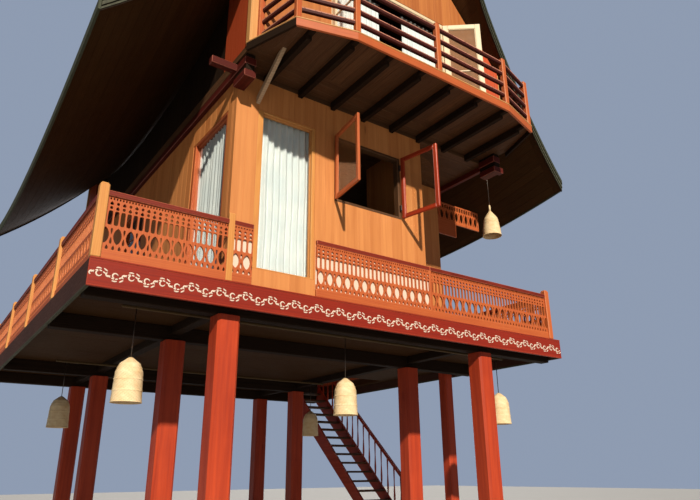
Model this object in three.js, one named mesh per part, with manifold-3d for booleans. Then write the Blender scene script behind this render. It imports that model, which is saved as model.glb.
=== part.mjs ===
// A timber guest house on posts, with a saddle roof after the tongkonan houses of Toraja.
// Millimetres, +Z up. The front looks towards -Y, and the origin is on the ground under the
// middle of the roof.

import * as THREE from 'three';
import { mergeVertices } from 'three/addons/utils/BufferGeometryUtils.js';
import Module from 'manifold-3d';

const wasm = await Module();
wasm.setup();

// Clearance that touching pieces keep, how far a cutter runs past what it cuts, and how far pieces
// of one node reach into each other so that they become one solid
const gap = 0.3;
const cutterReach = 1;
const overlap = 20;

// Deck
const deckHalfWidth = 3800;
const deckHalfDepth = 4000;
const deckTop = 3710;
const deckThickness = 150;
const deckUnderside = deckTop - deckThickness;
const fasciaThickness = 40;
const fasciaBottom = 3400;

// Posts and beams under the deck
const postSize = 280;
const postChamfer = 30;
const postRowX = 2150;
const postRowsY = [-3680, -1950, 1950, 3680];
const crossBeamDepth = 200;
const crossBeamWidth = 160;
const ribDepth = 120;
const ribWidth = 140;
const sidePostSize = 200;
const sidePostChamfer = 20;
const sidePostPlace = [3550, -1450];
const beamShortOfWell = 60;

// Main storey
const bodyHalfWidth = 2300;
const bodyFront = -3950;
const bodyRear = 3950;
const wallThickness = 120;
const ceilingUnderside = 6600;
const recessLeft = 870;
const recessBack = -2800;
const floorGap = deckTop + gap;

// Openings in the main storey's walls, as [low, high] pairs along the wall and up
const headHeight = 6150;
const tallSill = 3935;
const frontTallLight = { along: [-1980, -1090], up: [tallSill, headHeight] };
const frontWindow = { along: [-770, 430], up: [5130, headHeight] };
const leftTallLight = { along: [-3690, -2500], up: [tallSill, headHeight] };
const sideWindow = { along: [-300, 900], up: [5130, headHeight] };
const rearWindow = { along: [-600, 600], up: [5130, headHeight] };
const entranceDoor = { along: [2850, 3650], up: [deckTop, 5810] };

// Rings of windows and doors, the panes in them and the open casements of the front window
const ringDepth = 110;
const ringWidths = { tall: 95, window: 60, openWindow: 45, upper: 60, casement: 55, upperLeaf: 85 };
const paneThickness = 8;
const doorThickness = 50;
const leafDepth = 38;
const casementWidth = 670;
const casementSpare = 8;
const casementAngles = [-97.5, -79].map(THREE.MathUtils.degToRad);
const hingeBlock = { inset: 5, width: 30, height: 90, fromEnd: 170, standoff: 12 };

// Upper storey, which stands out over the front and rear walls
const upperFloorThickness = 160;
const upperFloorTop = ceilingUnderside + upperFloorThickness;
const upperHalfWidth = 2370;
const upperHalfLength = 4400;
const jettyThickness = 90;
const upperWallUp = [upperFloorTop + gap, 12500];
const upperDoor = { along: [-1130, 1130], up: [upperFloorTop + 40, 8700] };
const upperRearWindow = { along: [-700, 700], up: [7560, 8560] };
const sideBeam = { reach: 4290, inner: 2210, up: [6510, 6620], blockTop: 6690 };
const beamStub = { up: [6330, 6430], linkInset: 20, linkUp: [6425, 6515] };
const outrigger = { end: 2720, middle: 4010, width: 100, up: [6520, 6620] };
const upperLeafWidth = 620;
const upperLeafInset = 30;
const upperLeaves = [
  { side: 0, turn: -90, beforeWall: -9 },
  { side: 1, turn: -39, beforeWall: 4 },
];

// Roof surface: height over the eave is rise * d + curl * d * d, with d measured in from the eave
const roofHalfWidth = 4115;
const roofThickness = 110;
const slopeSteps = 10;
const lengthSteps = 20;
const ridgeJoint = 1;
const eaveMid = 6280;
const eaveLift = 400;
const rise = 0.85;
const curl = 0.00011;
const saddleMid = 0.762;
const saddleEnd = 0.238;
const vergeFoot = 4215;
const vergeLean = 0.2;
const prowStart = 9000;
const prowReach = 0.000094;
const bargeThickness = 45;
const bargeDepth = { above: 20, share: 1.35 };
const eaveBoardThickness = 30;
const eaveBoardDepth = { above: 8, below: 30 };
const ridgeBeamWidth = 160;
const ridgeBeamDepth = 300;
const ridgeBeamInset = 350;
const ridgeCapHalfWidth = 230;
const ridgeCapThickness = 90;
const ridgeCapInset = 60;
const ridgeCapBlock = 500;
const atticFloor = 5390;

// Balcony outline, left half from the wall to the middle, mirrored to the right
const balconyHalf = [[2390, -4400], [2120, -5140], [1375, -5340], [0, -5350]];
const balconyRailHalf = [[2250, -4400], [2100, -5128], [1365, -5328], [0, -5338]];
const balconyBoardTop = 6710;
const balconyBoardThickness = 40;
const balconyJoistDepth = 120;
const balconyJoistWidth = 70;
const balconyJoistPlaces = [-1900, -1360, -815, -270, 270, 815, 1360, 1900];
const balconyFasciaUp = [6600, 6730];
const balconyFasciaThickness = 32;
const balconyPostSize = 75;
const balconyPostTop = 7540;
const balconyRailHeights = [6850, 7040, 7230, 7420];
const balconyRailDepth = 62;
const balconyRailThickness = 38;
const balconyJoistReach = 5290;
const balconyCornerSlope = 0.27;
const fasciaLap = 5;
const brace = { width: 50, place: 2000, wallUp: [6220, 6320], outerY: [-4640, -4530] };

// Deck railings
const railTop = 4480;
const topRailDepth = 62;
const topRailThickness = 70;
const bottomBoardDepth = 120;
const bottomBoardThickness = 44;
const splatThickness = 24;
const splatPitch = 274;
const splatWidth = 124;
const railPostSize = 100;
const railPostTop = 4560;
const leftRailX = -3750;
const rightRailX = 3600;
const frontRailY = -3955;
const rearRailY = 3955;
const wallPanelPlace = -3970;
const leftPostsY = [-3950, -2000, -50, 1900, 3950];
const rightPostsY = [-3950, 3950];
const bayPostX = -2270;
const bayPostSize = 80;
const bayPostFront = -3990;
const bayJointX = 900;
const wellRailOffset = 30;

// Entrance stair, rising to the rear through a well in the deck
const stairX = [2790, 3540];
const stairFoot = -770;
const stairRisers = 20;
const stringerThickness = 40;
const treadThickness = 40;
const wellX = [2740, 3565];
const wellY = [600, 3200];
const stairHead = wellY[1] - gap;
const stringerDepth = { foot: [-120, 130], below: 230, topDrop: 20, topCut: 90 };
const nosing = 25;
const treadHousing = 5;
const handrailHeight = 900;
const handrailSize = [55, 75];
const newelSize = 80;
const newelRise = { low: 140, high: 60 };
const newelBeforeFoot = 180;
const newelBehindWell = 10;

// Woven lamps
const lampRadius = 170;
const lampHeight = 500;
const lampTop = 2850;
const lampPoleHeight = 3420;
const lampPoleRadius = 16;
const lampSides = 12;
const lampAcross = [0, 0.2, 0.68, 0.9, 0.96, 1, 0.88, 0];
const lampDown = [0, 0.02, 0.15, 0.34, 0.8, 1, 1, 0.94];
const hangerRadius = 7;
const poleEnd = 60;
const frontLampRow = { y: -3300, places: [-3080, -150, 2950] };
const rearLampRow = { y: 900, places: [-2950, -100, 1900] };
const verandaLamp = [3020, -3420, 6120];

// Screen above the right veranda, its lower edge stepped up towards the eave
const screenPlace = -2500;
const screenThickness = 30;
const screenSteps = { x: [2370.3, 3050, 3700], z: [5890, 6160, 6560] };
const screenSlotWidth = 60;
const screenMargins = { side: 65, low: 100, top: 90 };

const house = new THREE.Group();

const finishes = {
  redPost: { color: 0xb9482a, roughness: 0.55 },
  redTrim: { color: 0xa0321f, roughness: 0.55 },
  orangeWall: { color: 0xd98a4c, roughness: 0.6 },
  orangeRail: { color: 0xe07a3a, roughness: 0.6 },
  brownBoard: { color: 0x5b3a22, roughness: 0.75 },
  darkBoard: { color: 0x2e241b, roughness: 0.8 },
  roof: { color: 0x20241f, roughness: 0.8 },
  creamFrame: { color: 0xe9d6b0, roughness: 0.55 },
  bamboo: { color: 0xe6c58c, roughness: 0.8 },
};

function addPiece(name, geometry, finish) {
  const material = new THREE.MeshStandardMaterial({ metalness: 0, ...finishes[finish] });
  const piece = new THREE.Mesh(geometry, material);
  piece.name = name;
  house.add(piece);
}

// Booleans

function toSolid(geometry) {
  const bare = geometry.clone();
  bare.deleteAttribute('normal');
  bare.deleteAttribute('uv');
  const merged = mergeVertices(bare, 1e-3);
  const corners = Array.from(merged.index.array);
  const triangles = [];
  for (let i = 0; i < corners.length; i += 3) {
    const [a, b, c] = corners.slice(i, i + 3);
    if (a !== b && b !== c && c !== a) {
      triangles.push(a, b, c);
    }
  }
  return new wasm.Manifold(new wasm.Mesh({
    numProp: 3,
    vertProperties: new Float32Array(merged.attributes.position.array),
    triVerts: new Uint32Array(triangles),
  }));
}

function toGeometry(solid) {
  const mesh = solid.getMesh();
  const geometry = new THREE.BufferGeometry();
  geometry.setAttribute('position', new THREE.BufferAttribute(new Float32Array(mesh.vertProperties), 3));
  geometry.setIndex(new THREE.BufferAttribute(new Uint32Array(mesh.triVerts), 1));
  return geometry;
}

function joined(geometries) {
  return toGeometry(geometries.map(toSolid).reduce((whole, next) => whole.add(next)));
}

function cutBy(geometry, cutters) {
  return toGeometry(cutters.map(toSolid).reduce((rest, cutter) => rest.subtract(cutter), toSolid(geometry)));
}

function keptWithin(geometry, region) {
  return toGeometry(toSolid(geometry).intersect(toSolid(region)));
}

// Plain shapes

function box(x, y, z) {
  const geometry = new THREE.BoxGeometry(x[1] - x[0], y[1] - y[0], z[1] - z[0]);
  return geometry.translate((x[0] + x[1]) / 2, (y[0] + y[1]) / 2, (z[0] + z[1]) / 2);
}

function around(middle, size) {
  return [middle - size / 2, middle + size / 2];
}

function extruded(points, depth) {
  const shape = new THREE.Shape(points.map(([a, b]) => new THREE.Vector2(a, b)));
  return new THREE.ExtrudeGeometry(shape, { depth, bevelEnabled: false });
}

function rectangle(along, up) {
  return [[along[0], up[0]], [along[1], up[0]], [along[1], up[1]], [along[0], up[1]]];
}

const inOrder = (a, b) => [Math.min(a, b), Math.max(a, b)];

const past = ([low, high]) => [low - cutterReach, high + cutterReach];

// A slab whose outline lies in the ground plane
function plate(points, z, holes = []) {
  const slab = extruded(points, z[1] - z[0]).translate(0, 0, z[0]);
  return holes.length ? cutBy(slab, holes.map((hole) => plate(hole, past(z)))) : slab;
}

// An upright slab whose outline runs along X and up Z
function panelAlongX(points, y, holes = []) {
  const slab = extruded(points, y[1] - y[0]).rotateX(Math.PI / 2).translate(0, y[1], 0);
  return holes.length ? cutBy(slab, holes.map((hole) => panelAlongX(hole, past(y)))) : slab;
}

// An upright slab whose outline runs along Y and up Z
function panelAlongY(points, x, holes = []) {
  const slab = extruded(points, x[1] - x[0]).rotateX(Math.PI / 2).rotateZ(Math.PI / 2).translate(x[0], 0, 0);
  return holes.length ? cutBy(slab, holes.map((hole) => panelAlongY(hole, past(x)))) : slab;
}

// A closed solid between two height fields over a grid; at(u, v) gives [x, y, top, bottom]
function heightSolid(stepsU, stepsV, at) {
  const positions = [];
  const triangles = [];
  const row = stepsU + 1;
  const layer = row * (stepsV + 1);
  const samples = [];
  for (let j = 0; j <= stepsV; j += 1) {
    for (let i = 0; i <= stepsU; i += 1) {
      samples.push(at(i / stepsU, j / stepsV));
    }
  }
  samples.forEach(([x, y, top]) => positions.push(x, y, top));
  samples.forEach(([x, y, , bottom]) => positions.push(x, y, bottom));
  const quad = (a, b, c, d) => triangles.push(a, b, c, a, c, d);
  for (let j = 0; j < stepsV; j += 1) {
    for (let i = 0; i < stepsU; i += 1) {
      const k = j * row + i;
      quad(k, k + 1, k + row + 1, k + row);
      quad(layer + k, layer + k + row, layer + k + row + 1, layer + k + 1);
    }
  }
  for (let i = 0; i < stepsU; i += 1) {
    const far = stepsV * row + i;
    quad(i, layer + i, layer + i + 1, i + 1);
    quad(far, far + 1, layer + far + 1, layer + far);
  }
  for (let j = 0; j < stepsV; j += 1) {
    const near = j * row;
    const end = near + stepsU;
    quad(near, near + row, layer + near + row, layer + near);
    quad(end, layer + end, layer + end + row, end + row);
  }
  const geometry = new THREE.BufferGeometry();
  geometry.setAttribute('position', new THREE.BufferAttribute(new Float32Array(positions), 3));
  geometry.setIndex(triangles);
  const [first, second] = samples;
  const third = samples[row];
  const stepU = [second[0] - first[0], second[1] - first[1]];
  const stepV = [third[0] - first[0], third[1] - first[1]];
  const turn = stepU[0] * stepV[1] - stepU[1] * stepV[0];
  if (turn < 0) {
    geometry.setIndex(triangles.map((_, i) => triangles[i - (i % 3) + (2 - (i % 3))]));
  }
  return geometry;
}

// Roof form. In from the eave is d, and v runs from -1 at the front verge to 1 at the rear one.

const eaveOf = (v) => eaveMid + eaveLift * v * v;
const saddleOf = (v) => saddleMid + saddleEnd * v * v;
const climb = (d) => rise * d + curl * d * d;
const roofTopAt = (d, v) => eaveOf(v) + saddleOf(v) * climb(d);
const slopeAt = (d, v) => saddleOf(v) * (rise + 2 * curl * d);
const roofDropAt = (d, v) => roofThickness * Math.hypot(1, slopeAt(d, v));

function vergeReach(d) {
  const height = roofTopAt(d, 1);
  const beyond = Math.max(0, height - prowStart);
  return vergeFoot + vergeLean * (height - eaveOf(1)) + prowReach * beyond * beyond;
}

function roofSlope(side) {
  return heightSolid(slopeSteps, lengthSteps, (u, w) => {
    const v = 2 * w - 1;
    const d = u * (roofHalfWidth - ridgeJoint);
    const top = roofTopAt(d, v);
    return [side * (roofHalfWidth - d), v * vergeReach(d), top, top - roofDropAt(d, v)];
  });
}

function bargeBoard(side, end) {
  return heightSolid(slopeSteps, 1, (u, w) => {
    const d = u * roofHalfWidth;
    const top = roofTopAt(d, 1) + bargeDepth.above;
    const drop = roofDropAt(d, 1) * bargeDepth.share + bargeDepth.above;
    const reach = vergeReach(d) + gap + w * bargeThickness;
    return [side * (roofHalfWidth - d), end * reach, top, top - drop];
  });
}

function eaveBoard(side) {
  return heightSolid(1, lengthSteps, (u, w) => {
    const v = 2 * w - 1;
    const top = roofTopAt(0, v) + eaveBoardDepth.above;
    const drop = roofDropAt(0, v) + eaveBoardDepth.below;
    return [side * (roofHalfWidth + gap + u * eaveBoardThickness), v * vergeReach(0), top, top - drop];
  });
}

// The cap is cut to the two slopes that it lies on
function ridgeCap() {
  const block = heightSolid(2, lengthSteps, (u, w) => {
    const v = 2 * w - 1;
    const x = (2 * u - 1) * ridgeCapHalfWidth;
    const d = roofHalfWidth - Math.abs(x);
    const top = roofTopAt(d, v) + ridgeCapThickness;
    return [x, v * (vergeReach(d) - ridgeCapInset), top, top - ridgeCapBlock];
  });
  const slope = (side) => heightSolid(slopeSteps, lengthSteps, (u, w) => {
    const v = 2 * w - 1;
    const d = u * roofHalfWidth;
    const top = roofTopAt(d, v) + 4 * gap;
    return [side * (roofHalfWidth - d), v * vergeReach(d), top, top - 2 * ridgeCapBlock];
  });
  return cutBy(block, [slope(-1), slope(1)]);
}

// The room left under the roof, used to trim the walls that carry it
function underRoof() {
  const half = (side) => heightSolid(slopeSteps, lengthSteps, (u, w) => {
    const v = 2 * w - 1;
    const d = u * roofHalfWidth;
    const top = roofTopAt(d, v) - roofDropAt(d, v) - 2 * gap;
    return [side * (roofHalfWidth - d), v * vergeReach(d), top, atticFloor];
  });
  return joined([half(-1), half(1)]);
}

const attic = underRoof();

// The beam under the ridge, and with spare room around it the notch that walls leave for it
function ridgeBeam(spare = 0) {
  const reach = vergeReach(roofHalfWidth) - ridgeBeamInset;
  const block = box(around(0, ridgeBeamWidth + 2 * spare), [-reach, reach], upperWallUp);
  const below = attic.clone().translate(0, 0, -ridgeBeamDepth - spare);
  return cutBy(block, [below]);
}

// Posts, beams and deck

function postOutline(x, y, size, chamfer) {
  const half = size / 2;
  const cut = half - chamfer;
  const quarter = [[half, -cut], [half, cut]];
  const turned = [0, 1, 2, 3].flatMap((turns) => quarter.map(([a, b]) => {
    const angle = (turns * Math.PI) / 2;
    const [c, s] = [Math.round(Math.cos(angle)), Math.round(Math.sin(angle))];
    return [a * c - b * s, a * s + b * c];
  }));
  return turned.map(([a, b]) => [x + a, y + b]);
}

postRowsY.forEach((y, row) => {
  [['left', -postRowX], ['right', postRowX]].forEach(([side, x]) => {
    const top = deckUnderside - crossBeamDepth - 2 * gap;
    addPiece(`post_${side}_${row + 1}`, plate(postOutline(x, y, postSize, postChamfer), [0, top]), 'redPost');
  });
});

const sidePost = postOutline(...sidePostPlace, sidePostSize, sidePostChamfer);
addPiece('side_post', plate(sidePost, [0, deckUnderside - gap]), 'redPost');

const crossBeamUp = [deckUnderside - crossBeamDepth - gap, deckUnderside - gap];
postRowsY.forEach((y, row) => {
  const clearOfFascia = deckHalfWidth - fasciaThickness - gap;
  const rightEnd = y > wellY[0] && y < wellY[1] ? wellX[0] - beamShortOfWell : clearOfFascia;
  const beam = box([-clearOfFascia, rightEnd], around(y, crossBeamWidth), crossBeamUp);
  addPiece(`cross_beam_${row + 1}`, beam, 'darkBoard');
});

function deckRibs() {
  const ribs = [];
  for (let bay = 0; bay < postRowsY.length - 1; bay += 1) {
    const from = postRowsY[bay] + crossBeamWidth / 2 + gap;
    const to = postRowsY[bay + 1] - crossBeamWidth / 2 - gap;
    [-postRowX, postRowX].forEach((x) => {
      ribs.push(box(around(x, ribWidth), [from, to], [deckUnderside - ribDepth, deckUnderside + overlap]));
    });
  }
  return ribs;
}

const deckInner = [deckHalfWidth - fasciaThickness - gap, deckHalfDepth - fasciaThickness - gap];
const deckSlab = plate(
  rectangle([-deckInner[0], deckInner[0]], [-deckInner[1], deckInner[1]]),
  [deckUnderside, deckTop],
  [rectangle(wellX, wellY)],
);
addPiece('deck_floor', joined([deckSlab, ...deckRibs()]), 'brownBoard');

const fasciaUp = [fasciaBottom, deckTop];
const fasciaInner = [deckHalfWidth - fasciaThickness, deckHalfDepth - fasciaThickness];
const frontFascia = box([-deckHalfWidth, deckHalfWidth], [-deckHalfDepth, -fasciaInner[1]], fasciaUp);
addPiece('fascia_front', frontFascia, 'redTrim');
const sideFasciaOutline = [
  [-deckHalfWidth, gap - fasciaInner[1]],
  [-fasciaInner[0], gap - fasciaInner[1]],
  [-fasciaInner[0], fasciaInner[1]],
  [fasciaInner[0], fasciaInner[1]],
  [fasciaInner[0], gap - fasciaInner[1]],
  [deckHalfWidth, gap - fasciaInner[1]],
  [deckHalfWidth, deckHalfDepth],
  [-deckHalfWidth, deckHalfDepth],
];
addPiece('fascia_sides_and_rear', plate(sideFasciaOutline, fasciaUp), 'brownBoard');

// Walls of the main storey

const hole = (opening) => rectangle(opening.along, opening.up);
const wallUp = [floorGap, ceilingUnderside];
const frontWallY = [bodyFront, bodyFront + wallThickness];
const rearWallY = [bodyRear - wallThickness, bodyRear];
const sideWallX = [bodyHalfWidth - wallThickness, bodyHalfWidth];
const betweenEnds = [frontWallY[1] + gap, rearWallY[0] - gap];
const recessWallY = [recessBack, recessBack + wallThickness];

addPiece('front_wall', panelAlongX(
  rectangle([-bodyHalfWidth, recessLeft], wallUp),
  frontWallY,
  [hole(frontTallLight), hole(frontWindow)],
), 'orangeWall');
addPiece('left_wall', panelAlongY(
  rectangle(betweenEnds, wallUp),
  [-sideWallX[1], -sideWallX[0]],
  [hole(leftTallLight), hole(sideWindow)],
), 'orangeWall');
addPiece('rear_wall', panelAlongX(
  rectangle([-bodyHalfWidth, bodyHalfWidth], wallUp),
  rearWallY,
  [hole(rearWindow)],
), 'orangeWall');

// The front right corner of the main storey is cut back, and two walls close it
const recessOutline = [
  [recessLeft - wallThickness, frontWallY[1] + gap],
  [recessLeft, frontWallY[1] + gap],
  [recessLeft, recessBack],
  [bodyHalfWidth, recessBack],
  [bodyHalfWidth, recessWallY[1]],
  [recessLeft - wallThickness, recessWallY[1]],
];
addPiece('recess_walls', plate(recessOutline, wallUp), 'orangeWall');

const rightWallAlong = [recessWallY[1] + gap, betweenEnds[1]];
addPiece('right_wall', panelAlongY(
  [
    [rightWallAlong[0], floorGap],
    [entranceDoor.along[0], floorGap],
    [entranceDoor.along[0], entranceDoor.up[1]],
    [entranceDoor.along[1], entranceDoor.up[1]],
    [entranceDoor.along[1], floorGap],
    [rightWallAlong[1], floorGap],
    [rightWallAlong[1], ceilingUnderside],
    [rightWallAlong[0], ceilingUnderside],
  ],
  sideWallX,
  [hole(sideWindow)],
), 'orangeWall');

// Windows, tall lights and doors: a frame ring joined to the thin pane that it holds

const shrink = (pair, by) => [pair[0] + by, pair[1] - by];

// A ring of the given width just inside the opening, made by either of the two panel functions
function frameRing(opening, width, makePanel, place) {
  const along = shrink(opening.along, gap);
  const up = shrink(opening.up, gap);
  const inner = rectangle(shrink(along, width), shrink(up, width));
  return makePanel(rectangle(along, up), around(place, ringDepth), [inner]);
}

function glazedUnit(opening, width, makePanel, place) {
  const edge = gap + width / 2;
  const outline = rectangle(shrink(opening.along, edge), shrink(opening.up, edge));
  const pane = makePanel(outline, around(place, paneThickness));
  return joined([frameRing(opening, width, makePanel, place), pane]);
}

const frontPlane = bodyFront + wallThickness / 2;
const upperPlane = -upperHalfLength + wallThickness / 2;
const sidePlane = bodyHalfWidth - wallThickness / 2;
const glazedUnits = {
  front_tall_light: [frontTallLight, ringWidths.tall, panelAlongX, frontPlane],
  left_tall_light: [leftTallLight, ringWidths.tall, panelAlongY, -sidePlane],
  left_window: [sideWindow, ringWidths.window, panelAlongY, -sidePlane],
  right_window: [sideWindow, ringWidths.window, panelAlongY, sidePlane],
  rear_window: [rearWindow, ringWidths.window, panelAlongX, -frontPlane],
  upper_rear_window: [upperRearWindow, ringWidths.upper, panelAlongX, -upperPlane],
};
Object.entries(glazedUnits).forEach(([name, facts]) => addPiece(name, glazedUnit(...facts), 'orangeRail'));

const entranceLeaf = { along: entranceDoor.along, up: [floorGap, entranceDoor.up[1]] };
addPiece('entrance_door', panelAlongY(
  rectangle(shrink(entranceLeaf.along, 2 * gap), shrink(entranceLeaf.up, gap)),
  around(sidePlane, doorThickness),
), 'orangeRail');

// An open leaf: a ring with its pane, standing at an angle from the hinge, out from the wall
function openLeaf(hinge, angle, width, up, ring) {
  const across = [0, width];
  const inner = rectangle(shrink(across, ring), shrink(up, ring));
  const frame = panelAlongX(rectangle(across, up), around(0, leafDepth), [inner]);
  const middle = rectangle(shrink(across, ring / 2), shrink(up, ring / 2));
  const pane = panelAlongX(middle, around(0, paneThickness));
  return joined([frame, pane]).rotateZ(angle).translate(hinge[0], hinge[1], 0);
}

const openWindowRing = frameRing(frontWindow, ringWidths.openWindow, panelAlongX, frontPlane);
addPiece('front_window_frame', openWindowRing, 'orangeRail');

const casementUp = shrink(frontWindow.up, casementSpare);
const hingeHeights = shrink(casementUp, hingeBlock.fromEnd);
const hingeY = bodyFront - leafDepth / 2 - hingeBlock.standoff;

// Each open casement is carried by two hinge blocks that reach back to the frame's face
function casement(hingeX, inward, angle) {
  const leaf = openLeaf([hingeX, hingeY], angle, casementWidth, casementUp, ringWidths.casement);
  const near = hingeX + inward * hingeBlock.inset;
  const across = inOrder(near, near + inward * hingeBlock.width);
  const depth = [hingeY - paneThickness, frontPlane - ringDepth / 2 - gap];
  const blocks = hingeHeights.map((height) => box(across, depth, around(height, hingeBlock.height)));
  return joined([leaf, ...blocks]);
}

addPiece('front_casement_left', casement(frontWindow.along[0], 1, casementAngles[0]), 'orangeRail');
addPiece('front_casement_right', casement(frontWindow.along[1], -1, casementAngles[1]), 'orangeRail');

// Upper storey

const mirroredSpan = (side, from, to) => inOrder(side * from, side * to);
const outsideWall = bodyHalfWidth + 2 * gap;

// A beam lies along each side, and its blocked ends carry the floor that stands out at the gables
function sideBeams(side) {
  const beamX = mirroredSpan(side, outsideWall, upperHalfWidth);
  const linkX = mirroredSpan(side, sideBeam.inner + beamStub.linkInset, upperHalfWidth - beamStub.linkInset);
  const endX = mirroredSpan(side, sideBeam.inner, upperHalfWidth);
  const ends = [-1, 1].flatMap((end) => {
    const endY = mirroredSpan(end, -bodyFront + 2 * gap, sideBeam.reach);
    return [
      box(endX, endY, [sideBeam.up[0], sideBeam.blockTop]),
      box(endX, endY, beamStub.up),
      box(linkX, endY, beamStub.linkUp),
      box(
        mirroredSpan(side, bodyHalfWidth, outrigger.end),
        around(end * outrigger.middle, outrigger.width),
        outrigger.up,
      ),
    ];
  });
  return [box(beamX, [-sideBeam.reach, sideBeam.reach], sideBeam.up), ...ends];
}

const floorX = [-upperHalfWidth, upperHalfWidth];
const jettyUp = [upperFloorTop - jettyThickness, upperFloorTop];
const joistTop = balconyBoardTop - balconyBoardThickness / 2;
const joistUnderside = balconyBoardTop - balconyBoardThickness - balconyJoistDepth;

// The floor past a gable wall of the main storey is thinner, and rests on the joists' ends
function jetty(end) {
  const fromWall = mirroredSpan(end, -bodyFront + 2 * gap, upperHalfLength);
  return [
    box(floorX, mirroredSpan(end, -bodyFront - overlap, upperHalfLength), jettyUp),
    ...balconyJoistPlaces.map((x) => box(around(x, balconyJoistWidth), fromWall, [joistUnderside, joistTop])),
  ];
}

addPiece('upper_floor', joined([
  box(floorX, [bodyFront, bodyRear], [ceilingUnderside + gap, upperFloorTop]),
  ...jetty(-1),
  ...jetty(1),
  ...sideBeams(-1),
  ...sideBeams(1),
]), 'brownBoard');

const beamNotch = ridgeBeam(gap);

function gableWall(y, opening) {
  const slab = panelAlongX(rectangle(floorX, upperWallUp), y, [hole(opening)]);
  return cutBy(keptWithin(slab, attic), [beamNotch]);
}

const gableY = [-upperHalfLength, -upperHalfLength + wallThickness];
const betweenGables = [gableY[1] + gap, -gableY[1] - gap];
addPiece('front_gable_wall', gableWall(gableY, upperDoor), 'orangeWall');
addPiece('rear_gable_wall', gableWall(mirroredSpan(-1, ...gableY), upperRearWindow), 'orangeWall');
[['left', -1], ['right', 1]].forEach(([name, side]) => {
  const x = mirroredSpan(side, upperHalfWidth - wallThickness, upperHalfWidth);
  addPiece(`upper_wall_${name}`, keptWithin(box(x, betweenGables, upperWallUp), attic), 'orangeWall');
});

const upperLeafUp = shrink(upperDoor.up, upperLeafInset);
const upperHingeX = shrink(upperDoor.along, upperLeafInset);

// The leaves overlap the ring's outer face a little at their hinges, which makes them one piece
function upperLeaf({ side, turn, beforeWall }) {
  const hinge = [upperHingeX[side], -upperHalfLength - beforeWall];
  const angle = THREE.MathUtils.degToRad(turn);
  return openLeaf(hinge, angle, upperLeafWidth, upperLeafUp, ringWidths.upperLeaf);
}

addPiece('upper_door', joined([
  frameRing(upperDoor, ringWidths.upper, panelAlongX, upperPlane),
  ...upperLeaves.map(upperLeaf),
]), 'creamFrame');

// Balcony

const mirrored = ([x, y]) => [-x, y];
const bothHalves = (half) => [...half.map(mirrored), ...half.slice(0, -1).reverse()];
const balconyOutline = bothHalves(balconyHalf);
const balconyRailLine = bothHalves(balconyRailHalf);
const balconyBack = -upperHalfLength - 2 * gap;

// The outline moved out by a distance square to each side, with both ends kept on the wall
function offsetOutline(points, distance) {
  const sides = points.slice(1).map((point, i) => {
    const [dx, dy] = [point[0] - points[i][0], point[1] - points[i][1]];
    const length = Math.hypot(dx, dy);
    return { along: [dx / length, dy / length], out: [dy / length, -dx / length] };
  });
  return points.map((point, i) => {
    const before = sides[Math.max(0, i - 1)];
    const after = sides[Math.min(sides.length - 1, i)];
    const middle = [before.out[0] + after.out[0], before.out[1] + after.out[1]];
    const scale = (distance * 2) / (middle[0] ** 2 + middle[1] ** 2);
    const moved = [point[0] + middle[0] * scale, point[1] + middle[1] * scale];
    if (i > 0 && i < points.length - 1) {
      return moved;
    }
    const toWall = (balconyBack - moved[1]) / before.along[1];
    return [moved[0] + before.along[0] * toWall, balconyBack];
  });
}

// A strip that follows the outline between two distances from it
function stripAlong(points, inner, outer, z) {
  const near = offsetOutline(points, inner);
  const far = offsetOutline(points, outer);
  return plate([...far, ...near.reverse()], z);
}

function balconyJoist(x) {
  const set = Math.max(0, Math.abs(x) - balconyHalf[2][0]) * balconyCornerSlope;
  const y = [-balconyJoistReach + set, balconyBack];
  return box(around(x, balconyJoistWidth), y, [joistUnderside, joistTop]);
}

// A slim brace from the front wall's left end up to the balcony's boards
function balconyBrace() {
  const wallFace = bodyFront - 2 * gap;
  const outline = [
    [wallFace, brace.wallUp[0]],
    [brace.outerY[0], joistTop],
    [brace.outerY[1], joistTop],
    [wallFace, brace.wallUp[1]],
  ];
  return panelAlongY(outline, around(-brace.place, brace.width));
}

addPiece('balcony_floor', joined([
  plate(offsetOutline(balconyOutline, 0), [balconyBoardTop - balconyBoardThickness, balconyBoardTop]),
  stripAlong(balconyOutline, -fasciaLap, balconyFasciaThickness, balconyFasciaUp),
  ...balconyJoistPlaces.map(balconyJoist),
  balconyBrace(),
]), 'brownBoard');

const balconyPostUp = [balconyFasciaUp[1] + gap, balconyPostTop];

function balconyPost([x, y]) {
  const clear = Math.min(y, balconyBack - balconyPostSize / 2);
  return box(around(x, balconyPostSize), around(clear, balconyPostSize), balconyPostUp);
}

addPiece('balcony_railing', joined([
  ...balconyRailLine.map(balconyPost),
  ...balconyRailHeights.map((height) => stripAlong(
    balconyRailLine,
    -balconyRailThickness / 2,
    balconyRailThickness / 2,
    [height, height + balconyRailDepth],
  )),
]), 'orangeRail');

// Roof

addPiece('roof_left', roofSlope(-1), 'roof');
addPiece('roof_right', roofSlope(1), 'roof');
addPiece('ridge_cap', ridgeCap(), 'roof');
addPiece('ridge_beam', keptWithin(ridgeBeam(), attic), 'brownBoard');
addPiece('eave_board_left', eaveBoard(-1), 'roof');
addPiece('eave_board_right', eaveBoard(1), 'roof');
addPiece('barge_boards_front', joined([bargeBoard(-1, -1), bargeBoard(1, -1)]), 'roof');
addPiece('barge_boards_rear', joined([bargeBoard(-1, 1), bargeBoard(1, 1)]), 'roof');

// Deck railings: a thin slotted panel between a top rail and a foot board, with square posts

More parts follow.
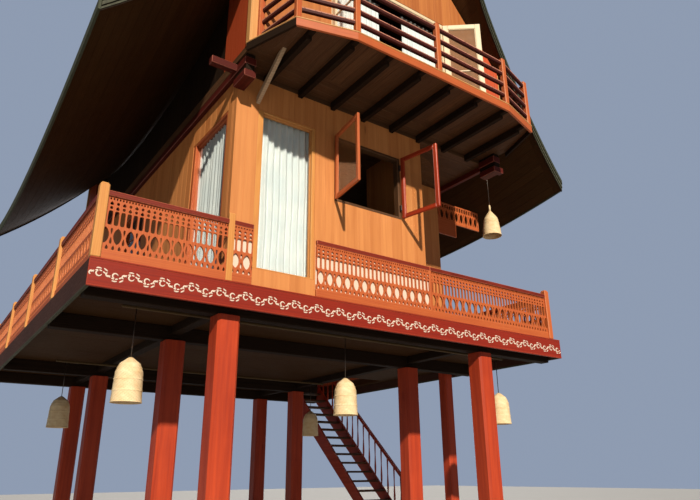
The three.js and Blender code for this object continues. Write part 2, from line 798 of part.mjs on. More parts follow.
// A run of railing; alongX says which way it goes, and place is where its middle lies across that way
function railRun(alongX, from, to, place, railThickness = topRailThickness) {
  const bar = (along, thickness, up) => {
    const across = around(place, thickness);
    return alongX ? box(along, across, up) : box(across, along, up);
  };
  const run = [from, to];
  const count = Math.max(1, Math.round((to - from) / splatPitch));
  const splats = Array.from({ length: count }, (_, i) => bar(
    around(from + ((i + 0.5) * (to - from)) / count, splatWidth),
    splatThickness,
    [deckTop + bottomBoardDepth - overlap, railTop - topRailDepth + overlap],
  ));
  return [
    bar(run, railThickness, [railTop - topRailDepth, railTop]),
    bar(run, Math.min(bottomBoardThickness, railThickness), [floorGap, deckTop + bottomBoardDepth]),
    ...splats,
  ];
}

function railPost(x, y, size = railPostSize) {
  return box(around(x, size), around(y, size), [floorGap, railPostTop]);
}

const wallPanelThickness = 2 * (bodyFront - gap - wallPanelPlace);
const panelFrom = frontTallLight.along[1] + overlap;

// A post against a wall's end; end is -1 at the front and 1 at the rear
function bayPost(x, end) {
  const y = inOrder(end * Math.abs(bayPostFront), end * (bodyRear + gap));
  return box(around(x, bayPostSize), y, [floorGap, railPostTop]);
}

addPiece('railing_left', joined([
  ...railRun(true, leftRailX, -outsideWall, frontRailY),
  ...railRun(false, frontRailY, rearRailY, leftRailX),
  ...railRun(true, leftRailX, -outsideWall, rearRailY),
  ...leftPostsY.map((y) => railPost(leftRailX, y)),
  bayPost(bayPostX, -1),
  bayPost(bayPostX, 1),
  ...railRun(true, bayPostX, frontTallLight.along[0], wallPanelPlace, wallPanelThickness),
]), 'orangeRail');

addPiece('railing_right', joined([
  ...railRun(true, panelFrom, bayJointX + overlap / 2, wallPanelPlace, wallPanelThickness),
  ...railRun(true, bayJointX, rightRailX, frontRailY),
  ...railRun(false, frontRailY, rearRailY, rightRailX),
  ...railRun(true, outsideWall, rightRailX, rearRailY),
  ...rightPostsY.map((y) => railPost(rightRailX, y)),
  bayPost(-bayPostX, 1),
]), 'orangeRail');

// The stairwell's guard: one run beside the well, and one across its front end
const wellGuardX = wellX[0] - wellRailOffset;
const wellGuardFront = wellY[0] - wellRailOffset;
const acrossFrom = wellGuardX + bayPostSize / 2 + gap;
const acrossTo = rightRailX - topRailThickness / 2 - gap;
addPiece('stairwell_railing_side', joined([
  ...railRun(false, wellGuardFront, wellY[1], wellGuardX),
  railPost(wellGuardX, wellGuardFront, bayPostSize),
  railPost(wellGuardX, wellY[1], bayPostSize),
]), 'orangeRail');
addPiece('stairwell_railing_end', joined(railRun(true, acrossFrom, acrossTo, wellGuardFront)), 'orangeRail');

// A stepped slatted screen that hangs between the right wall and the soffit
function screenSlots(x, z) {
  const span = shrink(x, screenMargins.side);
  const count = Math.round((span[1] - span[0]) / (splatPitch / 2));
  const up = [z[0] + screenMargins.low, z[1] - screenMargins.top];
  return Array.from({ length: count }, (_, i) => {
    const middle = span[0] + ((i + 0.5) * (span[1] - span[0])) / count;
    return rectangle(around(middle, screenSlotWidth), up);
  });
}

const [screenInner, screenStep, screenOuter] = screenSteps.x;
const [screenLow, screenMiddle, screenTop] = screenSteps.z;
addPiece('veranda_screen', panelAlongX(
  [
    [screenInner, screenLow],
    [screenStep, screenLow],
    [screenStep, screenMiddle],
    [screenOuter, screenMiddle],
    [screenOuter, screenTop],
    [screenInner, screenTop],
  ],
  around(screenPlace, screenThickness),
  [
    ...screenSlots([screenInner, screenStep], [screenLow, screenTop]),
    ...screenSlots([screenStep, screenOuter], [screenMiddle, screenTop]),
  ],
), 'orangeRail');

// Entrance stair

const stairRise = deckTop / stairRisers;
const stairGoing = (stairHead - stairFoot) / (stairRisers - 1);
const pitch = stairRise / stairGoing;

function stringer(x) {
  const head = deckTop - stringerDepth.topDrop;
  const outline = [
    [stairFoot + stringerDepth.foot[0], 0],
    [stairFoot + stringerDepth.foot[1], 0],
    [stairHead, deckTop - stairRise - stringerDepth.below],
    [stairHead, head],
    [stairHead - stringerDepth.topCut, head],
  ];
  return panelAlongY(outline, x);
}

const treadX = shrink(stairX, stringerThickness - treadHousing);

const treads = Array.from({ length: stairRisers - 1 }, (_, i) => {
  const top = (i + 1) * stairRise;
  const from = stairFoot + i * stairGoing;
  const to = Math.min(from + stairGoing + nosing, stairHead);
  return box(treadX, [from, to], [top - treadThickness, top]);
});
addPiece('entrance_stair', joined([
  stringer([stairX[0], stairX[0] + stringerThickness]),
  stringer([stairX[1] - stringerThickness, stairX[1]]),
  ...treads,
]), 'brownBoard');

// The handrail stands on the ground before the outer stringer and on the deck behind the well
function handrail() {
  const x = stairX[1] - newelSize / 2;
  const newel = (y, up) => box(around(x, newelSize), around(y, newelSize), up);
  const from = stairFoot - newelBeforeFoot;
  const to = wellY[1] + newelSize / 2 + newelBehindWell;
  const lineAt = (y) => (y - stairFoot) * pitch + handrailHeight;
  const [railWidth, railDepth] = handrailSize;
  const bar = [
    [from, lineAt(from)],
    [to, lineAt(to)],
    [to, lineAt(to) + railDepth],
    [from, lineAt(from) + railDepth],
  ];
  return joined([
    newel(from, [0, handrailHeight + newelRise.low]),
    newel(to, [floorGap, deckTop + handrailHeight + newelRise.high]),
    panelAlongY(bar, around(x, railWidth)),
  ]);
}

addPiece('stair_handrail', handrail(), 'redPost');

// Woven lamps: closed bells on short hangers

function lampBell(x, y, top) {
  const profile = lampAcross.map((r, i) => new THREE.Vector2(r * lampRadius, -lampDown[i] * lampHeight));
  const geometry = new THREE.LatheGeometry(profile.reverse(), lampSides);
  return geometry.rotateX(Math.PI / 2).translate(x, y, top);
}

function hanger(x, y, from, to) {
  const geometry = new THREE.CylinderGeometry(hangerRadius, hangerRadius, to - from, lampSides / 2);
  return geometry.rotateX(Math.PI / 2).translate(x, y, (from + to) / 2);
}

function lampRow({ y, places }) {
  const lamps = places.flatMap((x) => [
    lampBell(x, y, lampTop),
    hanger(x, y, lampTop - overlap, lampPoleHeight),
  ]);
  const ends = [Math.min(...places) - poleEnd, Math.max(...places, postRowX) + poleEnd];
  const up = [lampPoleHeight - lampPoleRadius, deckUnderside - ribDepth - gap];
  return joined([box(ends, around(y, 2 * lampPoleRadius), up), ...lamps]);
}

addPiece('lamps_front', lampRow(frontLampRow), 'bamboo');
addPiece('lamps_rear', lampRow(rearLampRow), 'bamboo');

function hungLamp([x, y, top]) {
  const rod = hanger(x, y, top - overlap, upperWallUp[1]);
  return joined([lampBell(x, y, top), keptWithin(rod, attic)]);
}

addPiece('veranda_lamp', hungLamp(verandaLamp), 'bamboo');

export default house;
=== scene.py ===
# The looks of a timber guest house on posts: boards, carved railings, shingles, glass, curtains and lamps
import bmesh
import bpy
import numpy as np
from mathutils import Matrix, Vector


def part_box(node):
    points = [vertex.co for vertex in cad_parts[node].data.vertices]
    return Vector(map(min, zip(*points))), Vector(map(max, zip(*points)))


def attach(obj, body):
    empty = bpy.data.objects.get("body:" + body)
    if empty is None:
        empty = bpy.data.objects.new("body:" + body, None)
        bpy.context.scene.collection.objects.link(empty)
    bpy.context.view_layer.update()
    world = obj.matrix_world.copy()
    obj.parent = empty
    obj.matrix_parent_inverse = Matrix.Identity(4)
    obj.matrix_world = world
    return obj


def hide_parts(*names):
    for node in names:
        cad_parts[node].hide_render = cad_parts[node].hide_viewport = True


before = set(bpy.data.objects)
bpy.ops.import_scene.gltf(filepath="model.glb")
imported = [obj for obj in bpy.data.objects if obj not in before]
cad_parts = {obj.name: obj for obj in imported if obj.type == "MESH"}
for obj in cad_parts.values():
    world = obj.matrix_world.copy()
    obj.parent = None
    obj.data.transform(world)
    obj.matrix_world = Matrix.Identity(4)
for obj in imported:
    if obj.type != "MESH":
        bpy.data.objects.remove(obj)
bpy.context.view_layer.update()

chance = np.random.default_rng(7)
scene = bpy.context.scene
hair = 0.0003        # how far the CAD solids that touch stand apart
seam = 0.0005        # how far layers of boards stand apart

# Rows are the world directions of along, up and out for a surface that looks that way
facing = {
    "front": np.array([[1, 0, 0], [0, 0, 1], [0, -1, 0]], float),
    "rear": np.array([[-1, 0, 0], [0, 0, 1], [0, 1, 0]], float),
    "left": np.array([[0, -1, 0], [0, 0, 1], [-1, 0, 0]], float),
    "right": np.array([[0, 1, 0], [0, 0, 1], [1, 0, 0]], float),
    "top": np.array([[1, 0, 0], [0, 1, 0], [0, 0, 1]], float),
    "under": np.array([[0, 1, 0], [1, 0, 0], [0, 0, -1]], float),
}


# A node's box as one array, low corner first
def boxOf(node):
    return np.array([list(corner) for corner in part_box(node)])


# A node's ends along, up and out of a facing, the lower one first
def spanOf(node, look):
    return np.sort(boxOf(node) @ facing[look].T, axis=0).T


# Mesh making: every part is a dictionary of arrays, and a piece is one or more parts put together
meshFacts = {"grainDrift": 0.12, "grainShift": 40.0, "chamferLimit": 0.8}
noTris = np.zeros((0, 3), int)
boxFaces = [[0, 1, 2, 3], [7, 6, 5, 4], [0, 4, 5, 1], [1, 5, 6, 2], [2, 6, 7, 3], [3, 7, 4, 0]]


# Corner signs, quads and triangles of a box whose every edge is cut off: three points at each corner
def chamferPattern():
    signs = np.array([[x, y, z] for x in (-1, 1) for y in (-1, 1) for z in (-1, 1)], float)
    quads, corners = [], {tuple(s): i for i, s in enumerate(signs.tolist())}

    def pointOn(axis, wanted):
        return 3 * corners[tuple(float(wanted[k]) for k in range(3))] + axis

    for a in range(3):
        b, c = (a + 1) % 3, (a + 2) % 3
        for s in (-1, 1):
            flat = [pointOn(a, {a: s, b: sb, c: sc}) for sb, sc in ((-1, -1), (1, -1), (1, 1), (-1, 1))]
            quads.append(flat[::s])
    for c in range(3):
        a, b = (c + 1) % 3, (c + 2) % 3
        for sa in (-1, 1):
            for sb in (-1, 1):
                low, high = {a: sa, b: sb, c: -1}, {a: sa, b: sb, c: 1}
                cut = [pointOn(a, low), pointOn(a, high), pointOn(b, high), pointOn(b, low)]
                quads.append(cut[::-sa * sb])
    tris = [[3 * i, 3 * i + 1, 3 * i + 2][::int(np.prod(s))] for i, s in enumerate(signs)]
    return signs, np.array(quads), np.array(tris)


boxSigns, boxQuads, boxTris = chamferPattern()


# Square timbers from rows of x, x, y, y, z, z, where either end of a pair may come first. Each corner point
# stands on one face: its own coordinate is the full half size, and the other two are a chamfer less. The
# grain place is the point measured from the timber's middle, longest side first, moved by a random amount
def timbers(rows, chamfer=0.006):
    spans = np.sort(np.reshape(rows, (-1, 3, 2)).astype(float), axis=2)
    lows, highs = spans[..., 0], spans[..., 1]
    middles, halves = (lows + highs) / 2, (highs - lows) / 2
    cut = np.minimum(chamfer, halves.min(axis=1) * meshFacts["chamferLimit"])[:, None, None, None]
    local = boxSigns[None, :, None, :] * (halves[:, None, None, :] - cut * (1.0 - np.eye(3)))
    local = local.reshape(len(rows) if np.ndim(rows) > 1 else 1, 24, 3)
    order = np.argsort(-halves, axis=1)[:, None, :]
    grain = np.take_along_axis(local, np.broadcast_to(order, local.shape), axis=2)
    return gather(local + middles[:, None, :], grain, boxQuads, boxTris, 6)


# Timbers whose rows are given along, up and out of the directions in turn
def turnedTimbers(rows, turn, chamfer=0.006):
    part = timbers(rows, chamfer)
    part["points"] = part["points"] @ turn
    return part


# The row for timbers of a box given along, up and out of a facing
def rowOf(along, up, out, look):
    return (np.array([along, up, out]).T @ facing[look]).T.ravel()


# Puts the arrays of many like shapes together. The first flatFaces quads of each are its broad faces,
# and the rest are marked as edges
def gather(points, grain, quads, tris, flatFaces, tone=None):
    count, each = points.shape[:2]
    step = (np.arange(count) * each)[:, None, None]
    tone = chance.random(count) if tone is None else np.broadcast_to(tone, count)
    shift = chance.random((count, 3)) * [meshFacts["grainShift"], 1, 1]
    shift[:, 1:] = (shift[:, 1:] * 2 - 1) * meshFacts["grainDrift"]
    edge = np.zeros((count, len(quads)))
    edge[:, flatFaces:] = 1
    return {
        "points": points.reshape(-1, 3),
        "grain": (grain + shift[:, None, :]).reshape(-1, 3),
        "quads": (quads[None] + step).reshape(-1, 4),
        "tris": (tris[None] + step).reshape(-1, 3),
        "quadTone": np.repeat(tone, len(quads)),
        "triTone": np.repeat(tone, len(tris)),
        "quadEdge": edge.ravel(),
        "triEdge": np.ones(count * len(tris)),
    }


# Faces that stand for no box or board get one tone and no edge
def sheetPart(points, quads, tone=0.5, grain=None, tris=()):
    points = np.asarray(points, float).reshape(-1, 3)
    quads = np.asarray(quads, int).reshape(-1, 4)
    tris = np.asarray(tris, int).reshape(-1, 3)
    return {
        "points": points,
        "grain": points.copy() if grain is None else np.asarray(grain, float).reshape(-1, 3),
        "quads": quads,
        "tris": tris,
        "quadTone": np.full(len(quads), tone),
        "triTone": np.full(len(tris), tone),
        "quadEdge": np.zeros(len(quads)),
        "triEdge": np.zeros(len(tris)),
    }


# Quads over a grid of points (rows, columns), closed round its columns or rows and capped at its ends
def gridPart(points, grain=None, tone=0.5, around=False, rowsClosed=False, caps=False):
    rows, n = points.shape[:2]
    i, j = np.meshgrid(np.arange(rows - (not rowsClosed)), np.arange(n - (not around)), indexing="ij")
    nextI, nextJ = (i + 1) % rows, (j + 1) % n
    quads = np.stack([i * n + j, i * n + nextJ, nextI * n + nextJ, nextI * n + j], -1).reshape(-1, 4)
    tris = []
    if caps:
        last = (rows - 1) * n
        tris = [[0, k + 1, k] for k in range(1, n - 1)]
        tris += [[last, last + k, last + k + 1] for k in range(1, n - 1)]
    return sheetPart(points, quads, tone, grain, tris)


# An outline of (y, z) drawn out between two places across
def prism(outline, across, faces, tone, tris=()):
    corners = np.array([[x, y, z] for x in across for y, z in outline])
    return sheetPart(corners, faces, tone, corners[:, [1, 2, 0]], tris)


def putTogether(parts):
    total, shifted = 0, []
    for part in parts:
        shifted.append({**part, "quads": part["quads"] + total, "tris": part["tris"] + total})
        total += len(part["points"])
    return {key: np.concatenate([part[key] for part in shifted]) for key in shifted[0]}


def addAttribute(mesh, name, kind, domain, values):
    attribute = mesh.attributes.new(name, kind, domain)
    field = "vector" if kind == "FLOAT_VECTOR" else "value"
    attribute.data.foreach_set(field, np.ascontiguousarray(values, np.float32).ravel())


# One object from its parts, standing for the nodes that it replaces
def makePiece(name, parts, finish, replaced=(), smooth=False, outward=False):
    whole = putTogether(parts if isinstance(parts, list) else [parts])
    quads, tris = whole["quads"], whole["tris"]
    mesh = bpy.data.meshes.new(name)
    mesh.vertices.add(len(whole["points"]))
    mesh.vertices.foreach_set("co", whole["points"].astype(np.float32).ravel())
    mesh.loops.add(quads.size + tris.size)
    mesh.loops.foreach_set("vertex_index", np.concatenate([quads.ravel(), tris.ravel()]).astype(np.int32))
    mesh.polygons.add(len(quads) + len(tris))
    starts = np.concatenate([np.arange(len(quads)) * 4, quads.size + np.arange(len(tris)) * 3])
    mesh.polygons.foreach_set("loop_start", starts.astype(np.int32))
    mesh.polygons.foreach_set("use_smooth", np.full(len(starts), smooth))
    addAttribute(mesh, "grain", "FLOAT_VECTOR", "POINT", whole["grain"])
    addAttribute(mesh, "tone", "FLOAT", "FACE", np.concatenate([whole["quadTone"], whole["triTone"]]))
    addAttribute(mesh, "edge", "FLOAT", "FACE", np.concatenate([whole["quadEdge"], whole["triEdge"]]))
    mesh.update(calc_edges=True)
    mesh.validate()
    if outward:
        turned = bmesh.new()
        turned.from_mesh(mesh)
        bmesh.ops.recalc_face_normals(turned, faces=turned.faces)
        turned.to_mesh(mesh)
        turned.free()
    mesh.materials.append(finishes[finish])
    piece = bpy.data.objects.new(name, mesh)
    scene.collection.objects.link(piece)
    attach(piece, "root")
    if replaced:
        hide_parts(*replaced)
    return piece


# Boards lying side by side in one plane. The section is a rectangle with its outer edges cut off, and it
# is carried from the low end to the high end. Either end may slope: its height at a section point lies on
# the line between its two sides. cuts has a row for each board: side0, side1, low0, low1, high0, high1
def boards(cuts, face, thickness, look, chamfer=0.003):
    cuts = np.asarray(cuts, float)
    side0, side1 = cuts[:, 0], cuts[:, 1]
    small = np.full(len(cuts), seam)
    edge = np.minimum(chamfer, (side1 - side0) * 0.4)
    level = 0 * edge
    back = face - thickness
    sides = np.stack([side0, side0, side0 + edge, side1 - edge,
                      side1, side1, side1 - small, side0 + small], 1)
    depth = np.stack([back + small, face - edge, face + level, face + level,
                      face - edge, back + small, back + level, back + level], 1)
    share = (sides - side0[:, None]) / (side1 - side0)[:, None]
    low = cuts[:, 2:3] * (1 - share) + cuts[:, 3:4] * share
    high = cuts[:, 4:5] * (1 - share) + cuts[:, 5:6] * share
    local = np.stack([np.stack([sides, low, depth], -1), np.stack([sides, high, depth], -1)], 1)
    local = local.reshape(len(cuts), 16, 3)
    grain = (local - local.mean(axis=1, keepdims=True))[..., [1, 0, 2]]
    ring = np.arange(8)
    after = (ring + 1) % 8
    round8 = np.stack([ring, after, after + 8, ring + 8], 1)[:, ::-1]
    broadFirst = [2, 0, 4, 6, 1, 3, 5, 7]
    caps = np.array([[0, 1, 4, 5], [1, 2, 3, 4], [0, 5, 6, 7]])
    quads = np.concatenate([round8[broadFirst], caps, caps[:, ::-1] + 8])
    return gather(local @ facing[look], grain, quads, noTris, 4)


# Splits a wall into board columns, and each column into the stretches that its openings leave free.
# topAt gives the wall's height over a place along it
def boardCuts(along, lowEnd, topAt, openings, width, gap=0.0):
    breaks = sorted({along[0], along[1], *[x for o in openings for x in o[:2]]})
    cuts = []
    for start, end in zip(breaks[:-1], breaks[1:]):
        count = max(1, round((end - start) / width))
        edges = np.linspace(start, end, count + 1)
        for a, b in zip(edges[:-1], edges[1:]):
            floor = lowEnd
            over = sorted(o[2:] for o in openings if o[0] < (a + b) / 2 < o[1])
            for holeLow, holeHigh in over:
                if holeLow > floor + 1e-4:
                    cuts.append([a, b, floor, floor, holeLow, holeLow])
                floor = holeHigh
            if min(topAt(a), topAt(b)) > floor + 1e-3:
                cuts.append([a, b, floor, floor, topAt(a), topAt(b)])
    return np.array(cuts) + [gap / 2, -gap / 2, 0, 0, 0, 0]


# A profile carried along a level path: each profile point stands out from each corner along its mitre, and
# where a wall's place is given, both ends are slid along their sides until they meet it
def mitredRun(path, section, tone=0.5, wallY=None, kept=slice(None)):
    path, section = np.asarray(path, float), np.asarray(section, float)
    steps = np.diff(path, axis=0)
    lengths = np.linalg.norm(steps, axis=1)
    steps /= lengths[:, None]
    outs = np.stack([steps[:, 1], -steps[:, 0]], 1)
    both = np.vstack([outs[:1], outs]) + np.vstack([outs, outs[-1:]])
    mitre = both * 2 / (both ** 2).sum(axis=1, keepdims=True)
    level = path[:, None, :] + mitre[:, None, :] * section[None, :, :1]
    for row, step in ((0, steps[0]), (-1, steps[-1])) if wallY is not None else ():
        level[row] += step * ((wallY - level[row][:, 1:]) / step[1])
    rows, n = len(path), len(section)
    points = np.concatenate([level, np.broadcast_to(section[:, 1:], (rows, n, 1))], 2)
    distance = np.concatenate([[0], np.cumsum(lengths)])[:, None]
    grain = np.stack(np.broadcast_arrays(distance, section[:, 0], section[:, 1]), -1)
    return gridPart(points[kept], grain[kept], tone, around=True, caps=True)


# A board's section: from out[0] to out[1] and up[0] to up[1], with both outer edges cut off
def sectionOf(out, up, cut=0.004):
    (a, b), (c, d) = out, up
    return [[a, c], [b - cut, c], [b, c + cut], [b, d - cut], [b - cut, d], [a, d]]


# Shader nodes, each made with its settings and inputs in one call
def feed(tree, node, inputs):
    for key, value in inputs.items():
        if isinstance(value, bpy.types.NodeSocket):
            tree.links.new(value, node.inputs[key])
        else:
            node.inputs[key].default_value = value


def addNode(tree, kind, inputs=None, **settings):
    made = tree.nodes.new("ShaderNode" + kind)
    for key, value in settings.items():
        setattr(made, key, value)
    feed(tree, made, inputs or {})
    return made


def calc(tree, operation, *values, clamped=False):
    return addNode(tree, "Math", dict(enumerate(values)), operation=operation, use_clamp=clamped).outputs[0]


def times(tree, a, b):
    return calc(tree, "MULTIPLY", a, b)


def scaled(tree, place, amounts):
    return addNode(tree, "VectorMath", {0: place, 1: amounts}, operation="MULTIPLY").outputs[0]


def mixed(tree, share, a, b):
    a, b = [(*colour, 1) if isinstance(colour, tuple) else colour for colour in (a, b)]
    return addNode(tree, "Mix", {0: share, 6: a, 7: b}, data_type="RGBA").outputs[2]


def ranged(tree, value, fromLow, fromHigh, toLow=0.0, toHigh=1.0):
    spans = {"From Min": fromLow, "From Max": fromHigh, "To Min": toLow, "To Max": toHigh}
    return addNode(tree, "MapRange", {"Value": value, **spans}).outputs[0]


def noise(tree, place, scale, detail, **more):
    return addNode(tree, "TexNoise", {"Vector": place, "Scale": scale, "Detail": detail, **more}).outputs[0]


def bumped(tree, height, strength, distance):
    return addNode(tree, "Bump", {"Strength": strength, "Distance": distance, "Height": height}).outputs[0]


def splitUp(tree, place):
    return addNode(tree, "SeparateXYZ", {0: place}).outputs


def objectPlace(tree):
    return addNode(tree, "TexCoord").outputs["Object"]


def attributeOf(tree, name, output="Fac"):
    return addNode(tree, "Attribute", attribute_name=name).outputs[output]


# Shader groups that the woods share. Every group takes one place and gives masks
def newGroup(name, numbers, outputs):
    group = bpy.data.node_groups.new(name, "ShaderNodeTree")
    group.interface.new_socket(name="Place", in_out="INPUT", socket_type="NodeSocketVector")
    for label, value in numbers.items():
        socket = group.interface.new_socket(name=label, in_out="INPUT", socket_type="NodeSocketFloat")
        socket.default_value = value
    for label in outputs:
        group.interface.new_socket(name=label, in_out="OUTPUT", socket_type="NodeSocketFloat")
    return group, group.nodes.new("NodeGroupInput").outputs, group.nodes.new("NodeGroupOutput")


# Sawn timber: growth rings about a wandering heart, fine fibres along the length, and a few knots
def timberGroup():
    tree, given, out = newGroup("sawnTimber", {"Rings": 55.0, "Fibres": 90.0},
                                ["Ring Mask", "Fibre Mask", "Knot Mask", "Height"])
    drift = noise(tree, scaled(tree, given["Place"], (0.7, 3, 3)), 1.6, 2.0)
    split = splitUp(tree, given["Place"])
    across = calc(tree, "ADD", split[1], times(tree, drift, 0.09))
    squares = calc(tree, "ADD", times(tree, across, across), times(tree, split[2], split[2]))
    wave = calc(tree, "SINE", times(tree, calc(tree, "SQRT", squares), times(tree, given["Rings"], 6.0)))
    rings = calc(tree, "POWER", calc(tree, "MULTIPLY_ADD", wave, 0.5, 0.5), 1.6)
    fibre = noise(tree, scaled(tree, given["Place"], (0.045, 1, 1)), given["Fibres"], 3.0, Roughness=0.6)
    fibreMask = ranged(tree, fibre, 0.32, 0.68)
    spots = {"Vector": scaled(tree, given["Place"], (0.5, 2.4, 2.4)), "Scale": 1.5, "Randomness": 1.0}
    knots = ranged(tree, addNode(tree, "TexVoronoi", spots, feature="F1").outputs[0], 0.02, 0.085, 1.0, 0.0)
    height = calc(tree, "ADD", times(tree, rings, 0.35), times(tree, fibreMask, 0.65))
    feed(tree, out, {"Ring Mask": rings, "Fibre Mask": fibreMask, "Knot Mask": knots, "Height": height})
    return tree


# Weather: broad stains, runs that hang down the faces, and fine dust specks
def weatherGroup():
    tree, given, out = newGroup("weatherStain", {}, ["Stain", "Runs", "Dust"])
    place = given["Place"]
    hung = noise(tree, scaled(tree, place, (9, 9, 0.7)), 1.0, 3.0)
    feed(tree, out, {"Stain": ranged(tree, noise(tree, place, 1.1, 5.0), 0.38, 0.68),
                     "Runs": ranged(tree, hung, 0.45, 0.75),
                     "Dust": ranged(tree, noise(tree, place, 38.0, 4.0), 0.5, 0.72)})
    return tree


sawnTimber = timberGroup()
weatherStain = weatherGroup()


def newMaterial(name):
    material = bpy.data.materials.new(name)
    material.use_nodes = True
    tree = material.node_tree
    tree.nodes.clear()
    shader = addNode(tree, "BsdfPrincipled")
    addNode(tree, "OutputMaterial", {0: shader.outputs[0]})
    return material, tree, shader


# Where the wood's grain is read from: the piece's own attribute, or object space with its long side first
def grainPlace(tree, along):
    if along == "attribute":
        return attributeOf(tree, "grain", "Vector")
    split = splitUp(tree, objectPlace(tree))
    first = "xyz".index(along)
    order = [first] + [i for i in range(3) if i != first]
    return addNode(tree, "CombineXYZ", {k: split[i] for k, i in enumerate(order)}).outputs[0]


# Wood: base colour between a dark and a light one by rings and fibres, each board with a tone of its own,
# paler on marked edges, from rubbed wear and, on the balcony rails, a painted highlight, darker where
# weather hangs
def woodMaterial(name, look, along="attribute"):
    material, tree, shader = newMaterial(name)
    inputs = {"Place": grainPlace(tree, along), "Rings": look["rings"], "Fibres": look["fibres"]}
    timber = addNode(tree, "Group", inputs, node_tree=sawnTimber).outputs
    weather = addNode(tree, "Group", {"Place": objectPlace(tree)}, node_tree=weatherStain).outputs
    share = calc(tree, "ADD", times(tree, timber["Ring Mask"], look["ringShare"]),
                 times(tree, timber["Fibre Mask"], look["fibreShare"]))
    toned = times(tree, attributeOf(tree, "tone"), look["toneShare"])
    colour = mixed(tree, calc(tree, "ADD", share, toned, clamped=True), look["light"], look["dark"])
    colour = mixed(tree, times(tree, timber["Knot Mask"], look["knots"]), colour, look["knotColour"])
    wearAndHighlightShare = times(tree, attributeOf(tree, "edge"), look["edgeWear"])
    wearAndHighlightShare = times(tree, wearAndHighlightShare, ranged(tree, weather["Dust"], 0.0, 0.8, 1.0, 0.3))
    colour = mixed(tree, wearAndHighlightShare, colour, look["edgeColour"])
    dirt = calc(tree, "MAXIMUM", times(tree, weather["Stain"], look["stain"]),
                times(tree, weather["Runs"], look["runs"]))
    rough = calc(tree, "ADD", times(tree, timber["Fibre Mask"], 0.5), times(tree, weather["Dust"], 0.5))
    feed(tree, shader, {"Base Color": mixed(tree, dirt, colour, look["dirtColour"]),
                        "Roughness": ranged(tree, rough, 0.0, 1.0, *look["rough"]),
                        "Normal": bumped(tree, timber["Height"], look["bump"], 0.002),
                        "Specular IOR Level": look["specular"]})
    return material


# A wood's light and dark colours, its roughness from and to, its gloss and the colour of its marked edges,
# rubbed wear on most woods and a painted highlight on the dark rails.
# What is named after them differs from plainWood
plainWood = {"rings": 55.0, "fibres": 90.0, "ringShare": 0.4, "fibreShare": 0.35, "toneShare": 0.3,
             "knots": 0.5, "edgeWear": 0.35, "stain": 0.25, "runs": 0.2, "bump": 0.25}


def wood(light, dark, rough, specular, edgeColour=None, **others):
    return {**plainWood, "light": light, "dark": dark, "rough": rough, "specular": specular,
            "edgeColour": edgeColour or light, "knotColour": dark, "dirtColour": dark, **others}


